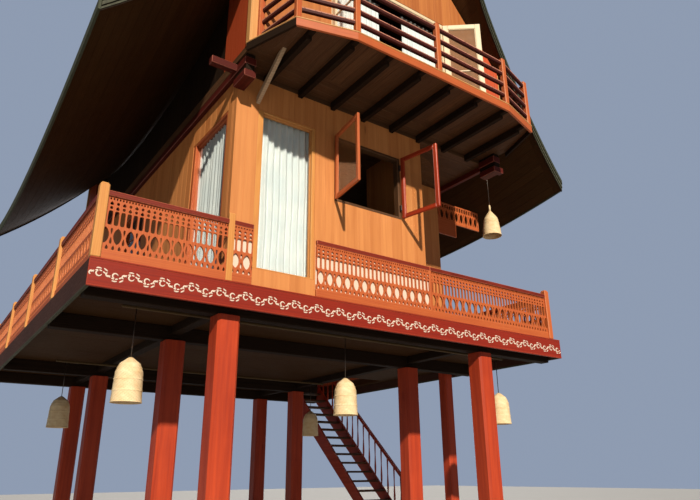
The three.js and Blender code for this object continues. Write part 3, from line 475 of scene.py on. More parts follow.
fine = {"ringShare": 0.2, "fibres": 40.0}
panelled = {"ringShare": 0.2, "fibres": 30.0}
boarded = {"rings": 7.0, "ringShare": 0.16, "fibres": 24.0, "fibreShare": 0.34, "toneShare": 0.34,
           "knots": 0.7, "knotColour": (0.16, 0.035, 0.010), "bump": 0.15}
woodLooks = {
    "redPost": wood((0.50, 0.062, 0.018), (0.20, 0.013, 0.006), (0.36, 0.58), 0.3, rings=9.0,
                    ringShare=0.14, fibres=26.0, fibreShare=0.42, toneShare=0.2, knots=0.8, bump=0.15,
                    stain=0.3, runs=0.3),
    "redTrim": wood((0.30, 0.026, 0.010), (0.16, 0.011, 0.006), (0.4, 0.6), 0.25, (0.52, 0.11, 0.05),
                    **fine, edgeWear=0.5, knots=0.2),
    "redRail": wood((0.23, 0.026, 0.011), (0.09, 0.009, 0.005), (0.4, 0.6), 0.25, (0.60, 0.20, 0.11),
                    edgeWear=0.55),
    # The balcony rails: dark, and the pale colour of their marked edge is a painted highlight
    "darkRail": wood((0.070, 0.012, 0.008), (0.030, 0.005, 0.004), (0.45, 0.65), 0.15, (0.58, 0.26, 0.18),
                     edgeWear=0.85),
    "darkRed": wood((0.12, 0.016, 0.010), (0.05, 0.007, 0.005), (0.45, 0.65), 0.15, (0.48, 0.16, 0.11),
                    edgeWear=0.5),
    # Gable boards: darker than the lower walls, partly their own colour and partly painted shade under the
    # roof's overhang
    "gableWall": wood((0.52, 0.195, 0.056), (0.30, 0.080, 0.020), (0.45, 0.65), 0.25, **boarded),
    "redPanel": wood((0.46, 0.080, 0.022), (0.26, 0.030, 0.010), (0.45, 0.65), 0.25, (0.62, 0.20, 0.08),
                     **panelled),
    "gablePanel": wood((0.62, 0.115, 0.045), (0.38, 0.050, 0.018), (0.45, 0.65), 0.25, (0.70, 0.25, 0.10),
                       **panelled),
    "orangeWall": wood((0.64, 0.265, 0.084), (0.40, 0.125, 0.030), (0.45, 0.65), 0.3, **boarded,
                       stain=0.18, runs=0.22),
    "orangeRail": wood((0.52, 0.135, 0.038), (0.32, 0.052, 0.014), (0.4, 0.6), 0.3, (0.70, 0.28, 0.11),
                       **fine, edgeWear=0.4, knots=0.3),
    "yellowPost": wood((0.62, 0.29, 0.080), (0.45, 0.155, 0.036), (0.4, 0.6), 0.3, (0.75, 0.44, 0.17),
                       **fine),
    "paleBoard": wood((0.66, 0.36, 0.135), (0.50, 0.21, 0.060), (0.4, 0.6), 0.3, (0.80, 0.55, 0.28),
                      **fine),
    "brownBoard": wood((0.13, 0.060, 0.025), (0.055, 0.023, 0.009), (0.55, 0.8), 0.2, (0.22, 0.12, 0.06),
                       stain=0.35),
    # Soffit boards: far darker than the timber itself, painted shade under the deck, the eaves and the ridge
    "soffitBoard": wood((0.070, 0.032, 0.010), (0.032, 0.013, 0.004), (0.65, 0.9), 0.08, stain=0.35,
                        edgeWear=0.1, bump=0.2),
    "sideFascia": wood((0.085, 0.036, 0.024), (0.035, 0.014, 0.010), (0.55, 0.8), 0.15, (0.16, 0.09, 0.06),
                       stain=0.4, runs=0.35),
    "greyBoard": wood((0.58, 0.42, 0.27), (0.30, 0.20, 0.12), (0.55, 0.8), 0.2, (0.42, 0.32, 0.22),
                      stain=0.4, runs=0.35),
    # Near black: painted shade on the timbers under the deck, the upper floor and the balcony, on the
    # balcony's end fascias, the set-back upper side walls and the gaps behind the verge lips
    "darkBoard": wood((0.026, 0.014, 0.007), (0.010, 0.005, 0.003), (0.65, 0.9), 0.08, (0.05, 0.03, 0.018),
                      stain=0.3, edgeWear=0.1),
    "creamFrame": wood((0.72, 0.60, 0.40), (0.58, 0.44, 0.26), (0.4, 0.6), 0.4, (0.82, 0.74, 0.58),
                       ringShare=0.2, fibreShare=0.2, knots=0.1),
    "creamPaint": wood((0.70, 0.60, 0.50), (0.56, 0.45, 0.35), (0.45, 0.65), 0.3, ringShare=0.15,
                       fibreShare=0.15, knots=0.0, stain=0.15),
    "mossTrim": wood((0.095, 0.098, 0.065), (0.035, 0.036, 0.024), (0.6, 0.85), 0.15, (0.16, 0.16, 0.12),
                     stain=0.45, runs=0.4),
    "shingle": wood((0.072, 0.076, 0.053), (0.022, 0.024, 0.017), (0.6, 0.9), 0.2, (0.10, 0.10, 0.08),
                    ringShare=0.2, fibreShare=0.5, toneShare=0.5, stain=0.5, runs=0.4, bump=0.6,
                    dirtColour=(0.040, 0.052, 0.022)),
    "bambooPole": wood((0.11, 0.070, 0.030), (0.05, 0.030, 0.012), (0.5, 0.7), 0.15),
}

glassLook = {"tint": (0.95, 0.98, 0.97, 1), "roughness": 0.0, "smear": 0.06, "ior": 1.45, "ripple": 0.02,
             "clear": 1.0}
# The upper door's right pane is half clear and tinted dark brown: painted shade of the wall seen through it
paintedShadeGlassLook = {**glassLook, "tint": (0.34, 0.20, 0.11, 1), "roughness": 0.09, "clear": 0.5}
clothLook = {"light": (0.64, 0.69, 0.68), "shade": (0.53, 0.61, 0.63), "weave": 620.0, "bump": 0.15,
             "sheen": 0.1}
metalLook = {"light": (0.09, 0.08, 0.07), "rust": (0.12, 0.045, 0.02)}
weaveLook = {"dark": (0.66, 0.42, 0.18), "light": (0.95, 0.80, 0.52), "rings": 420.0, "ribs": 260.0,
             "bump": 0.8}


def glassMaterial(name, look):
    material, tree, shader = newMaterial(name)
    place = objectPlace(tree)
    rough = (look["roughness"], look["roughness"] + look["smear"])
    feed(tree, shader, {"Normal": bumped(tree, noise(tree, place, 3.0, 1.0), look["ripple"], 0.01),
                        "Roughness": ranged(tree, noise(tree, place, 9.0, 4.0), 0.4, 0.8, *rough),
                        "Base Color": look["tint"],
                        "Transmission Weight": look["clear"],
                        "IOR": look["ior"]})
    return material


# Curtain cloth: a fine plain weave over soft uneven shade
def clothMaterial():
    material, tree, shader = newMaterial("curtainCloth")
    place = attributeOf(tree, "grain", "Vector")
    split = splitUp(tree, place)
    threads = [calc(tree, "SINE", times(tree, split[i], clothLook["weave"])) for i in (0, 1)]
    shade = ranged(tree, noise(tree, place, 2.2, 3.0), 0.35, 0.75)
    feed(tree, shader, {"Base Color": mixed(tree, shade, clothLook["light"], clothLook["shade"]),
                        "Normal": bumped(tree, times(tree, *threads), clothLook["bump"], 0.001),
                        "Roughness": ranged(tree, shade, 0, 1, 0.75, 0.92),
                        "Sheen Weight": clothLook["sheen"]})
    return material


def metalMaterial():
    material, tree, shader = newMaterial("darkMetal")
    rust = ranged(tree, noise(tree, objectPlace(tree), 60.0, 5.0), 0.5, 0.7)
    feed(tree, shader, {"Base Color": mixed(tree, rust, metalLook["light"], metalLook["rust"]),
                        "Roughness": ranged(tree, rust, 0, 1, 0.4, 0.8),
                        "Metallic": ranged(tree, rust, 0, 1, 0.9, 0.1)})
    return material


# Woven split bamboo: strips over and under each other, read from the lamp's own grain place, whose first
# number runs round the bell and whose second runs down it
def weaveMaterial():
    material, tree, shader = newMaterial("wovenBamboo")
    place = attributeOf(tree, "grain", "Vector")
    split = splitUp(tree, place)
    weave = times(tree, calc(tree, "SINE", times(tree, split[1], weaveLook["rings"])),
                  calc(tree, "SINE", times(tree, split[0], weaveLook["ribs"])))
    uneven = ranged(tree, noise(tree, place, 14.0, 4.0), 0.3, 0.7, 0, 0.5)
    shade = calc(tree, "ADD", ranged(tree, weave, -1, 1, 0.0, 0.45), uneven)
    feed(tree, shader, {"Base Color": mixed(tree, shade, weaveLook["dark"], weaveLook["light"]),
                        "Roughness": ranged(tree, shade, 0, 1, 0.7, 0.45),
                        "Normal": bumped(tree, weave, weaveLook["bump"], 0.003)})
    return material


finishes = {name: woodMaterial(name, look) for name, look in woodLooks.items()}
finishes.update(glass=glassMaterial("windowGlass", glassLook),
                milkyGlass=glassMaterial("milkyGlass", paintedShadeGlassLook),
                cloth=clothMaterial(), darkMetal=metalMaterial(), wovenBamboo=weaveMaterial())
print("materials ready:", len(finishes))


# Gives CAD nodes that keep their own meshes a wood whose long side lies along an axis
def dress(nodes, materialName, look, along):
    material = woodMaterial(materialName, woodLooks[look], along)
    for node in nodes:
        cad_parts[node].data.materials.clear()
        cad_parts[node].data.materials.append(material)


# Posts keep their CAD meshes, and plain beams are cut again from their own boxes with eased edges
posts = [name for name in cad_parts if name.startswith("post_")] + ["side_post"]
dress(posts, "redPostUpright", "redPost", "z")
beams = [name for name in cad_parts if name.startswith("cross_beam_")]
beamRows = [boxOf(name).T.ravel() for name in beams]
# The cross beams are near black: painted shade under the deck
makePiece("crossBeams", timbers(beamRows, 0.008), "darkBoard", beams)
print("posts and beams dressed")


# Deck: floor boards above, ribs and plain ceiling panels under them, all inside the CAD slab. The margins of
# the stairwell are measured from its guard and from the outer fascia
deck = {"boardWidth": 0.142, "boardThick": 0.028, "panelWidth": 1.22, "panelThick": 0.012, "gap": 0.004,
        "coreInset": 0.02, "coreWidth": 2.4, "ribPlaces": (-2.15, 2.15), "ribHalf": 0.07,
        "wellX": (0.065, -0.235), "wellY": (0.07, -0.04)}


def makeDeck():
    low, high = boxOf("deck_floor")
    guard, rim = boxOf("stairwell_railing_side"), boxOf("fascia_sides_and_rear")
    wellX = [guard[0][0] + deck["wellX"][0], rim[1][0] + deck["wellX"][1]]
    wellY = [guard[0][1] + deck["wellY"][0], guard[1][1] + deck["wellY"][1]]
    hole = [[*wellX, *wellY]]
    cuts = boardCuts([low[0], high[0]], low[1], lambda x: high[1], hole, deck["boardWidth"], deck["gap"])
    top = boards(cuts, high[2], deck["boardThick"], "top", 0.002)
    makePiece("deckBoards", top, "brownBoard", ["deck_floor"])
    slabLow, slabTop = boxOf("cross_beam_1")[1][2] + hair, high[2] - deck["boardThick"] - seam
    inset = deck["coreInset"]
    core = boardCuts([low[0] + inset, high[0] - inset], low[1] + inset, lambda x: high[1] - inset, hole,
                     deck["coreWidth"])
    middle = boards(core, slabTop, slabTop - slabLow - deck["panelThick"] - seam, "top", 0.0)
    panels = boardCuts([low[1], high[1]], low[0], lambda y: high[0], [[*wellY, *wellX]], deck["panelWidth"],
                       deck["gap"])
    ceiling = boards(panels, -slabLow, deck["panelThick"], "under", 0.003)
    makePiece("deckCeiling", [middle, ceiling], "soffitBoard", ["deck_floor"])
    boxes, wide = [boxOf(name) for name in sorted(beams)], deck["ribHalf"]
    ribs = [[x - wide, x + wide, before[1][1], after[0][1], low[2], slabLow]
            for before, after in zip(boxes[:-1], boxes[1:]) for x in deck["ribPlaces"]]
    makePiece("deckRibs", timbers(ribs, 0.008), "darkBoard", ["deck_floor"])


makeDeck()


# Fascias: a red one in front with a cream scroll, and plain grey-brown ones with a pale strip under them
fascia = {"scrollPitch": 0.33, "scrollMiddle": 0.138, "scrollSwing": 0.036, "strokeHalf": 0.0095,
          "relief": 0.005, "margin": 0.02, "faceBack": 0.004, "lipDrop": 0.018, "lowerLipThick": 0.02,
          "stripHeight": 0.022, "mainBack": 0.006}


# A raised stroke: a low round section carried along a curve and drawn to a point at both ends. shape(t)
# gives the curve's place along and up the board for t from 0 to 1
def strokes(shapes, face, half, relief, look):
    t = np.linspace(0, 1, 9)
    arc = np.linspace(0, np.pi, 5)
    parts = []
    for shape in shapes:
        line = np.stack(shape(t), 1)
        tangent = np.gradient(line, axis=0)
        tangent /= np.linalg.norm(tangent, axis=1, keepdims=True)
        normal = np.stack([-tangent[:, 1], tangent[:, 0]], 1)
        swell = half * np.clip(np.sin(np.pi * (0.06 + 0.88 * t)) ** 0.45, 0.15, 1)
        flat = line[:, None, :] + normal[:, None, :] * (swell[:, None] * np.cos(arc)[None, :])[..., None]
        lift = face - 0.001 + relief * np.broadcast_to(np.sin(arc) ** 0.6, flat.shape[:2])
        points = np.concatenate([flat, lift[..., None]], 2) @ facing[look]
        parts.append(gridPart(points, around=True, caps=True))
    return parts


# One pitch of the scroll: a wave broken into strokes, curls under and over it, and short strokes beside it
def scrollShapes(start, pitch, middle, swing):
    def run(a, b, lift=0.0):
        def shape(t):
            x = start + pitch * (a + (b - a) * t)
            return x, middle + swing * np.sin(2 * np.pi * (x - start) / pitch) + lift
        return shape

    # A curl that turns inwards from a point on the wave
    def curl(at, upward, size):
        def shape(t):
            angle = np.pi * (0.1 + 1.35 * t)
            radius = size * (1 - 0.55 * t)
            x = start + pitch * at + radius * np.cos(angle) * 0.9
            return x, middle + upward * (radius * np.sin(angle) - 0.2 * size)
        return shape

    runs = [(0.02, 0.12), (0.15, 0.235), (0.265, 0.35), (0.38, 0.47), (0.52, 0.62), (0.65, 0.735),
            (0.765, 0.85), (0.88, 0.97)]
    curls = [(0.25, -1, 0.040), (0.75, 1, 0.040), (0.03, 1, 0.030), (0.53, -1, 0.030)]
    beside = [(0.17, 0.33, 0.024), (0.67, 0.83, -0.024), (0.40, 0.52, 0.040), (0.90, 1.02, -0.040)]
    return [run(*r) for r in runs] + [curl(*c) for c in curls] + [run(*r) for r in beside]


def makeFascias():
    low, high = boxOf("fascia_front")
    lip, back, margin = fascia["lipDrop"], fascia["faceBack"], fascia["margin"]
    x = (low[0], high[0])
    board = timbers([*x, low[1] + back, high[1], low[2], high[2] - lip], 0.005)
    upperLip = timbers([*x, low[1], high[1], high[2] - lip, high[2]], 0.004)
    lowerLip = timbers([*x, low[1], low[1] + fascia["lowerLipThick"], low[2], low[2] + lip], 0.004)
    makePiece("fasciaFrontBoard", [board, upperLip, lowerLip], "redTrim", ["fascia_front"])
    count = round((high[0] - low[0]) / fascia["scrollPitch"])
    pitch = (high[0] - low[0] - 2 * margin) / count
    start, middle = low[0] + margin, low[2] + fascia["scrollMiddle"]
    shapes = []
    for i in range(count):
        shapes += scrollShapes(start + i * pitch, pitch, middle, fascia["scrollSwing"])
    relief = strokes(shapes, -low[1] - back, fascia["strokeHalf"], fascia["relief"], "front")
    makePiece("fasciaScroll", relief, "creamPaint", smooth=True, outward=True)

    thick, strip = high[1] - low[1], fascia["stripHeight"]
    low, high = boxOf("fascia_sides_and_rear")
    x0, x1, y0, y1 = low[0] + thick, high[0] - thick, low[1], high[1] - thick
    path = [[x1, y0], [x1, y1], [x0, y1], [x0, y0]]
    main = mitredRun(path, sectionOf([0, thick - fascia["mainBack"]], [low[2] + strip, high[2]]))
    trim = mitredRun(path, sectionOf([0.004, thick], [low[2], low[2] + strip]))
    makePiece("fasciaSides", main, "sideFascia", ["fascia_sides_and_rear"], outward=True)
    makePiece("fasciaStrip", trim, "mossTrim", ["fascia_sides_and_rear"], outward=True)


makeFascias()
print("deck and fascias made")


# The roof surface, with d measured in from the eave and v from -1 at the front verge to 1 at the rear
roof = {"halfWidth": 4.115, "eaveMid": 6.28, "eaveLift": 0.4, "rise": 0.85, "curl": 0.11,
        "saddleMid": 0.762, "saddleEnd": 0.238, "thickness": 0.11, "vergeFoot": 4.215, "vergeLean": 0.2,
        "prowStart": 9.0, "prowReach": 0.094}


# The share of the full climb at v: the ridge hangs lowest in the middle
def saddle(v):
    return roof["saddleMid"] + roof["saddleEnd"] * v * v


def roofTop(d, v):
    climb = roof["rise"] * d + roof["curl"] * d * d
    return roof["eaveMid"] + roof["eaveLift"] * v * v + saddle(v) * climb


def roofSlope(d, v):
    return saddle(v) * (roof["rise"] + 2 * roof["curl"] * d)


# How far out the verge stands: it leans outwards, and near the ridge it sweeps out into a prow
def vergeReach(d):
    height = roofTop(d, 1.0)
    lean = roof["vergeLean"] * (height - roofTop(0, 1.0))
    return roof["vergeFoot"] + lean + roof["prowReach"] * np.maximum(0, height - roof["prowStart"]) ** 2


# A point of the roof, sunk square to the slope by depth
def roofPoint(side, d, v, depth=0.0):
    drop = depth * np.hypot(1, roofSlope(d, v))
    place = [side * (roof["halfWidth"] - d), v * vergeReach(d), roofTop(d, v) - drop]
    return np.stack(np.broadcast_arrays(*place), -1)


def underRoofAt(x, y):
    d = roof["halfWidth"] - abs(x)
    v = y / vergeReach(d)
    return float(roofTop(d, v) - roof["thickness"] * np.hypot(1, roofSlope(d, v)))


# Walls of boards on both faces of a plain middle. The low walls of the upper sides end in red panels
walls = {"boardWidth": 0.19, "boardThick": 0.03, "groove": 0.003, "coreWidth": 0.6, "coreInset": 0.002,
         "endPanel": 0.67, "panelInset": 0.03, "doorway": (-1.13, 1.13), "doorSill": 0.04, "doorHead": 8.70,
         "beamNotch": 0.31, "notchGap": 0.001, "gableGap": 0.002, "sideGap": 0.003,
         "holes": {"front": ["front_tall_light", "front_window_frame"], "rear": ["rear_window"],
                   "left": ["left_window", "left_tall_light"], "right": ["right_window", "entrance_door"]}}


# A wall by its facing, the plane of its outer face, its ends, foot, height over a place, and openings
def wallParts(look, face, thickness, along, lowEnd, topAt, openings=()):
    board, inset, width = walls["boardThick"], walls["coreInset"], walls["boardWidth"]
    outer = boards(boardCuts(along, lowEnd, topAt, openings, width), face, board, look, walls["groove"])
    wider = [[o[0] - inset, o[1] + inset, o[2] - inset, o[3] + inset] for o in openings]
    core = boardCuts([along[0] + inset, along[1] - inset], lowEnd, lambda x: topAt(x) - inset, wider,
                     walls["coreWidth"])
    middle = boards(core, face - board - seam, thickness - 2 * board - 2 * seam, look, 0.0)
    opposite = {"front": "rear", "rear": "front", "left": "right", "right": "left"}[look]
    turned = [[-o[1], -o[0], o[2], o[3]] for o in openings]
    inner = boards(boardCuts([-along[1], -along[0]], lowEnd, lambda x: topAt(-x), turned, width),
                   thickness - face, board, opposite, walls["groove"])
    return [outer, middle, inner]


# An opening is a hair larger than the node that fills it
def openingOf(node, look):
    (left, right), (low, high) = spanOf(node, look)[:2]
    return [left - hair, right + hair, low - hair, high + hair]


def makeWalls():
    foot, top = boxOf("front_wall")[:, 2]
    level = lambda x: top
    for side, holes in walls["holes"].items():
        along, (inner, outer) = spanOf(side + "_wall", side)[[0, 2]]
        openings = [openingOf(hole, side) for hole in holes]
        parts = wallParts(side, outer, outer - inner, along, foot, level, openings)
        makePiece(side + "WallBoards", parts, "orangeWall", [side + "_wall"])
    low, high = boxOf("recess_walls")
    inner, outer = spanOf("front_wall", "front")[2]
    thick = outer - inner
    cheek = wallParts("right", low[0] + thick, thick, [low[1], high[1] - thick], foot, level)
    back = wallParts("front", -(high[1] - thick), thick, [low[0], high[0]], foot, level)
    makePiece("recessWallBoards", [*cheek, *back], "orangeWall", ["recess_walls"])


def makeGables():
    notchLeft, notchRight = boxOf("ridge_beam")[:, 0]
    for side, hole in (("front", "upper_door"), ("rear", "upper_rear_window")):
        along, up, (inner, outer) = spanOf(side + "_gable_wall", side)

        def topAt(x):
            under = underRoofAt(x, inner) - walls["gableGap"]
            return under - walls["beamNotch"] if abs(x) < notchRight + walls["notchGap"] else under

        opening = openingOf(hole, side)
        if side == "front":
            opening = [*walls["doorway"], up[0] + walls["doorSill"], walls["doorHead"]]
        breaks = [notchLeft - walls["notchGap"], notchRight + walls["notchGap"], up[0], up[0]]
        parts = wallParts(side, outer, outer - inner, along, up[0], topAt, [opening, breaks])
        makePiece(side + "_gable_boards", parts, "gableWall", [side + "_gable_wall"])
    panel, inset = walls["endPanel"], walls["panelInset"]
    for side in ("left", "right"):
        node = "upper_wall_" + side
        along, up, (inner, outer) = spanOf(node, side)
        under = lambda y: underRoofAt(outer, y) - walls["sideGap"]
        between = [along[0] + panel, along[1] - panel]
        # The stretch between the red end panels stands set back and near black: painted shade of the roof
        middle = wallParts(side, outer - inset, outer - inner - inset, between, up[0], under)
        makePiece(node + "_boards", middle, "darkBoard", [node])
        ends = [boards([[a, b, up[0], up[0], under(a), under(b)]], outer, outer - inner, side, 0.004)
                for a, b in ((along[0], between[0]), (between[1], along[1]))]
        makePiece(node + "_panels", ends, "redPanel", [node])


makeWalls()
makeGables()
print("walls boarded")


# Shingles in courses up each slope, a tight deck under them and boards along the soffit
cover = {"courses": 29, "across": 96, "lap": 0.10, "liftLow": 0.020, "liftHigh": 0.006, "thick": 0.010,
         "seat": 0.024, "uneven": 0.010, "curled": 0.004, "gap": 0.0012, "slimmest": 0.004,
         "soffitBoards": 34, "soffitThick": 0.016, "soffitGap": 0.003, "lengthSteps": 28, "deckSteps": 14,
         "ridgeGap": 0.002, "deckDown": 0.004, "soffitGapUp": 0.001}


# Each shingle lies between two places up the slope and two along it. Its lower end stands higher off the
# deck than its upper end, so that each course laps the one below
def shingles(side):
    rows, across, half, slit = cover["courses"], cover["across"], roof["halfWidth"], cover["gap"] / 2
    i, j = np.meshgrid(np.arange(rows), np.arange(across), indexing="ij")
    i, j = i.ravel(), j.ravel()
    step = half / rows
    low = np.clip(i * step + chance.uniform(-cover["uneven"], cover["uneven"], len(i)), 0.0, None)
    high = np.minimum(i * step + step + cover["lap"], half - cover["ridgeGap"])
    start = (j - 0.5 * (i % 2)) / across * 2 - 1
    start, end = np.clip(start, -1, 1), np.clip(start + 2 / across, -1, 1)
    kept = end - start > cover["slimmest"]
    low, high, start, end = low[kept], high[kept], start[kept] + slit, end[kept] - slit
    lift = chance.uniform(0, cover["curled"], len(low))
    corners = []
    for thick in (0.0, cover["thick"]):
        lowDepth = cover["seat"] - cover["liftLow"] - lift + thick
        highDepth = cover["seat"] - cover["liftHigh"] + thick
        for d, v, depth in ((low, start, lowDepth), (low, end, lowDepth), (high, end, highDepth),
                            (high, start, highDepth)):
            corners.append(roofPoint(side, d, v, depth))
    points = np.stack(corners, 1)
    grain = (points - points.mean(axis=1, keepdims=True))[..., [2, 1, 0]]
    return gather(points, grain, np.array(boxFaces)[:, ::side], noTris, 2)


# A closed skin between two depths of the roof, over a stretch of the slope
def roofSkin(side, d0, d1, depth0, depth1, dSteps, tone=0.5):
    v = np.linspace(-1, 1, cover["lengthSteps"] + 1)[:, None]
    ds = np.linspace(d0, d1, dSteps + 1)
    d, depth = np.append(ds, ds[::-1]), np.repeat([depth0, depth1], len(ds))
    points = roofPoint(side, d, v, depth)
    grain = np.stack(np.broadcast_arrays(v * vergeReach(d), d, depth), -1)
    skin = gridPart(points, grain + chance.uniform(-0.1, 0.1, 3) * [0, 1, 1], tone, around=True)
    n, k = len(d), np.arange(dSteps)
    cap = np.stack([k, k + 1, n - 2 - k, n - 1 - k], 1)
    quads = np.vstack([skin["quads"], cap[:, ::-1], cap + (len(v) - 1) * n])
    return sheetPart(skin["points"], quads, tone, skin["grain"])


def makeRoof():
    inner, half = roof["halfWidth"] - 0.001, cover["soffitGap"] / 2
    soffitTop = roof["thickness"] - cover["soffitThick"]
    edges = np.linspace(0, inner, cover["soffitBoards"] + 1)
    for name, side in (("left", -1), ("right", 1)):
        node = [f"roof_{name}"]
        depths = (cover["seat"] + cover["deckDown"], soffitTop - cover["soffitGapUp"])
        deckSkin = roofSkin(side, 0, inner, *depths, cover["deckSteps"])
        makePiece(f"roofDeck_{name}", deckSkin, "soffitBoard", node, outward=True)
        makePiece(f"shingles_{name}", shingles(side), "shingle", node, outward=True)
        rows = [roofSkin(side, a + half, b - half, soffitTop, roof["thickness"], 1, float(chance.random()))
                for a, b in zip(edges[:-1], edges[1:])]
        makePiece(f"soffit_{name}", rows, "soffitBoard", node, outward=True)


makeRoof()


# Verge boards: a dark drip board over two pale lips, and a pale plank under the soffit's edge. Each is a
# rectangle, given by how far it stands out from the verge and how deep it lies in the roof
verge = {"strips": [("drip", "shingle", "roof", (-0.004, 0.044), (-0.02, 0.045)),
                    ("upperLip", "mossTrim", "pale_trim", (0.0, 0.034), (0.058, 0.100)),
                    ("lowerLip", "mossTrim", "pale_trim", (0.0, 0.022), (0.112, 0.134)),
                    # The backing is near black and the plank takes the soffit's darkened wood: both painted
                    # shade
                    ("backing", "darkBoard", "dark_board", (0.0, 0.012), (0.0, 0.150)),
                    ("plank", "soffitBoard", "pale_trim", (-0.20, -0.002), (0.112, 0.130))],
         "steps": 24}


def vergeStrip(side, end, out, depths):
    d = np.linspace(0, roof["halfWidth"], verge["steps"] + 1)[:, None]
    outs, downs = np.array([*out, *out[::-1]]), np.repeat(depths, 2)
    x = np.broadcast_to(side * (roof["halfWidth"] - d), (len(d), 4))
    y = end * (vergeReach(d) + hair + outs)
    z = roofTop(d, 1.0) - downs * np.hypot(1, roofSlope(d, 1.0))
    grain = np.stack([np.broadcast_to(d * 1.6, x.shape), y, z * 0.3], -1)
    return gridPart(np.stack([x, y, z], -1), grain, float(chance.random()), around=True, caps=True)


def makeVerges():
    for label, finish, slotName, out, depths in verge["strips"]:
        for name, end in (("front", -1), ("rear", 1)):
            node = [f"barge_boards_{name}"]
            parts = [vergeStrip(side, end, out, depths) for side in (-1, 1)]
            makePiece(f"verge_{name}_{label}", parts, finish, node, outward=True)


makeVerges()
dress(["ridge_cap", "eave_board_left", "eave_board_right"], "ridgeCapWood", "shingle", "y")
dress(["ridge_beam"], "ridgeWood", "soffitBoard", "y")
print("roof covered")


# Pierced railing panels. A unit of the pattern is laid out in cells, each with one hole. The face of a cell
# is ruled between its rectangle and its hole
carving = {"pitch": 0.137, "foot": 0.105, "topRail": 0.062, "thick": 0.024, "segments": 16}


def holeOutline(kind, t):
    c, s = np.cos(t), np.sin(t)
    if kind == "slot":
        return np.sign(c) * np.abs(c) ** 0.35, np.sign(s) * np.abs(s) ** 0.6
    if kind == "lens":
        return np.sign(c) * np.abs(c) ** 1.5, s
    if kind == "drop":
        return 1.3 * c * ((1 - s) / 2) ** 0.6, s
    if kind == "fan":
        return 1.3 * c * ((1 + s) / 2) ** 0.9, s
    return c, s


# Cells from the foot board up: x range in pitches, z range in shares of the panel, hole kind, and the
# hole's size in shares of its cell. A closed cell has a hole too small to see
carvedCells = [
    (0.00, 0.50, 0.00, 0.105, "drop", 0.50, 0.80), (0.50, 1.00, 0.00, 0.105, "drop", 0.50, 0.80),
    (0.13, 0.87, 0.105, 0.43, "lens", 0.92, 0.93),
    (0.87, 1.13, 0.105, 0.26, "drop", 0.80, 0.86), (0.87, 1.13, 0.26, 0.43, "fan", 0.80, 0.80),
    (0.00, 0.50, 0.43, 0.455, "closed", 0.02, 0.02), (0.50, 1.00, 0.43, 0.455, "closed", 0.02, 0.02),
    (0.00, 0.50, 0.455, 0.745, "slot", 0.78, 0.94), (0.50, 1.00, 0.455, 0.745, "slot", 0.78, 0.94),
    (0.00, 0.50, 0.745, 0.835, "drop", 0.62, 0.82), (0.50, 1.00, 0.745, 0.835, "round", 0.50, 0.66),
    (0.00, 0.50, 0.835, 0.92, "round", 0.50, 0.68), (0.50, 1.00, 0.835, 0.92, "drop", 0.64, 0.84),
    *[(x, x + 0.25, 0.92, 1.00, "round", 0.60, 0.56) for x in (0.00, 0.25, 0.50, 0.75)],
]


# One run of pierced panel: starts at along[0], with its middle plane at depth place in the facing given.
# Every unit reads the same grain place as its neighbours, so that the panel looks like one plank
def piercedRun(along, up, place, look, cells=carvedCells):
    n, half = carving["segments"], carving["thick"] / 2
    count = max(1, round((along[1] - along[0]) / carving["pitch"]))
    pitch = (along[1] - along[0]) / count
    height = up[1] - up[0]
    t = np.arange(n) * 2 * np.pi / n
    square = np.stack([np.cos(t), np.sin(t)], 1) / np.maximum(np.abs(np.cos(t)), np.abs(np.sin(t)))[:, None]
    ring, after = np.arange(n), (np.arange(n) + 1) % n
    faceQuads = np.stack([ring, after, after + n, ring + n], 1)
    backQuads = np.stack([ring + 3 * n, after + 3 * n, after + 2 * n, ring + 2 * n], 1)
    holeQuads = np.stack([ring + n, after + n, after + 3 * n, ring + 3 * n], 1)
    quads = np.concatenate([faceQuads, backQuads, holeQuads])
    shift = np.zeros((count, 1, 3))
    shift[:, 0, 0] = along[0] + np.arange(count) * pitch
    parts = []
    for x0, x1, z0, z1, kind, wide, tall in cells:
        middle = np.array([(x0 + x1) / 2 * pitch, (z0 + z1) / 2 * height])
        size = np.array([(x1 - x0) / 2 * pitch, (z1 - z0) / 2 * height])
        outer = middle + square * size
        inner = middle + np.stack(holeOutline(kind, t), 1) * size * (wide, tall)
        unit = np.concatenate([np.column_stack([outline, np.full(n, depth)]) for depth in (half, -half)
                               for outline in (outer, inner)])
        whole = unit[None] + shift
        whole[..., 0] = np.clip(whole[..., 0], *along)
        whole[..., 1] += up[0]
        whole[..., 2] += place
        grain = whole[..., [1, 0, 2]]
        part = gather(whole @ facing[look], grain, quads, noTris, 2 * n, tone=0.5)
        part["grain"] = grain.reshape(-1, 3)
        parts.append(part)
    return parts


# Railings. Runs along a wall are thinner than the free ones
rails = {"thick": 0.070, "wallThick": 0.039, "footThick": 0.044, "postSize": 0.1, "guardPost": 0.08,
         "postCap": 0.016, "neckIn": 0.012, "neckDown": 0.004, "topDrop": 0.08, "outY": 3.955,
         "wallY": 3.970, "cornerY": 3.95, "wallX": 2.3006, "bayX": -2.27, "joinX": 0.905,
         "leftPosts": (-3.95, -2.0, -0.05, 1.9, 3.95)}
wallPosts = {"bayX": (-2.31, -2.23), "rearX": (2.23, 2.31), "joinX": (0.885, 0.935), "y": (3.9503, 3.99),
             "joinY": (-3.985, -3.9503), "joinDrop": 0.07}
backing = {"from": 0.02, "to": 0.89, "y": (-3.9578, -3.9508), "foot": 0.1, "top": 0.05}


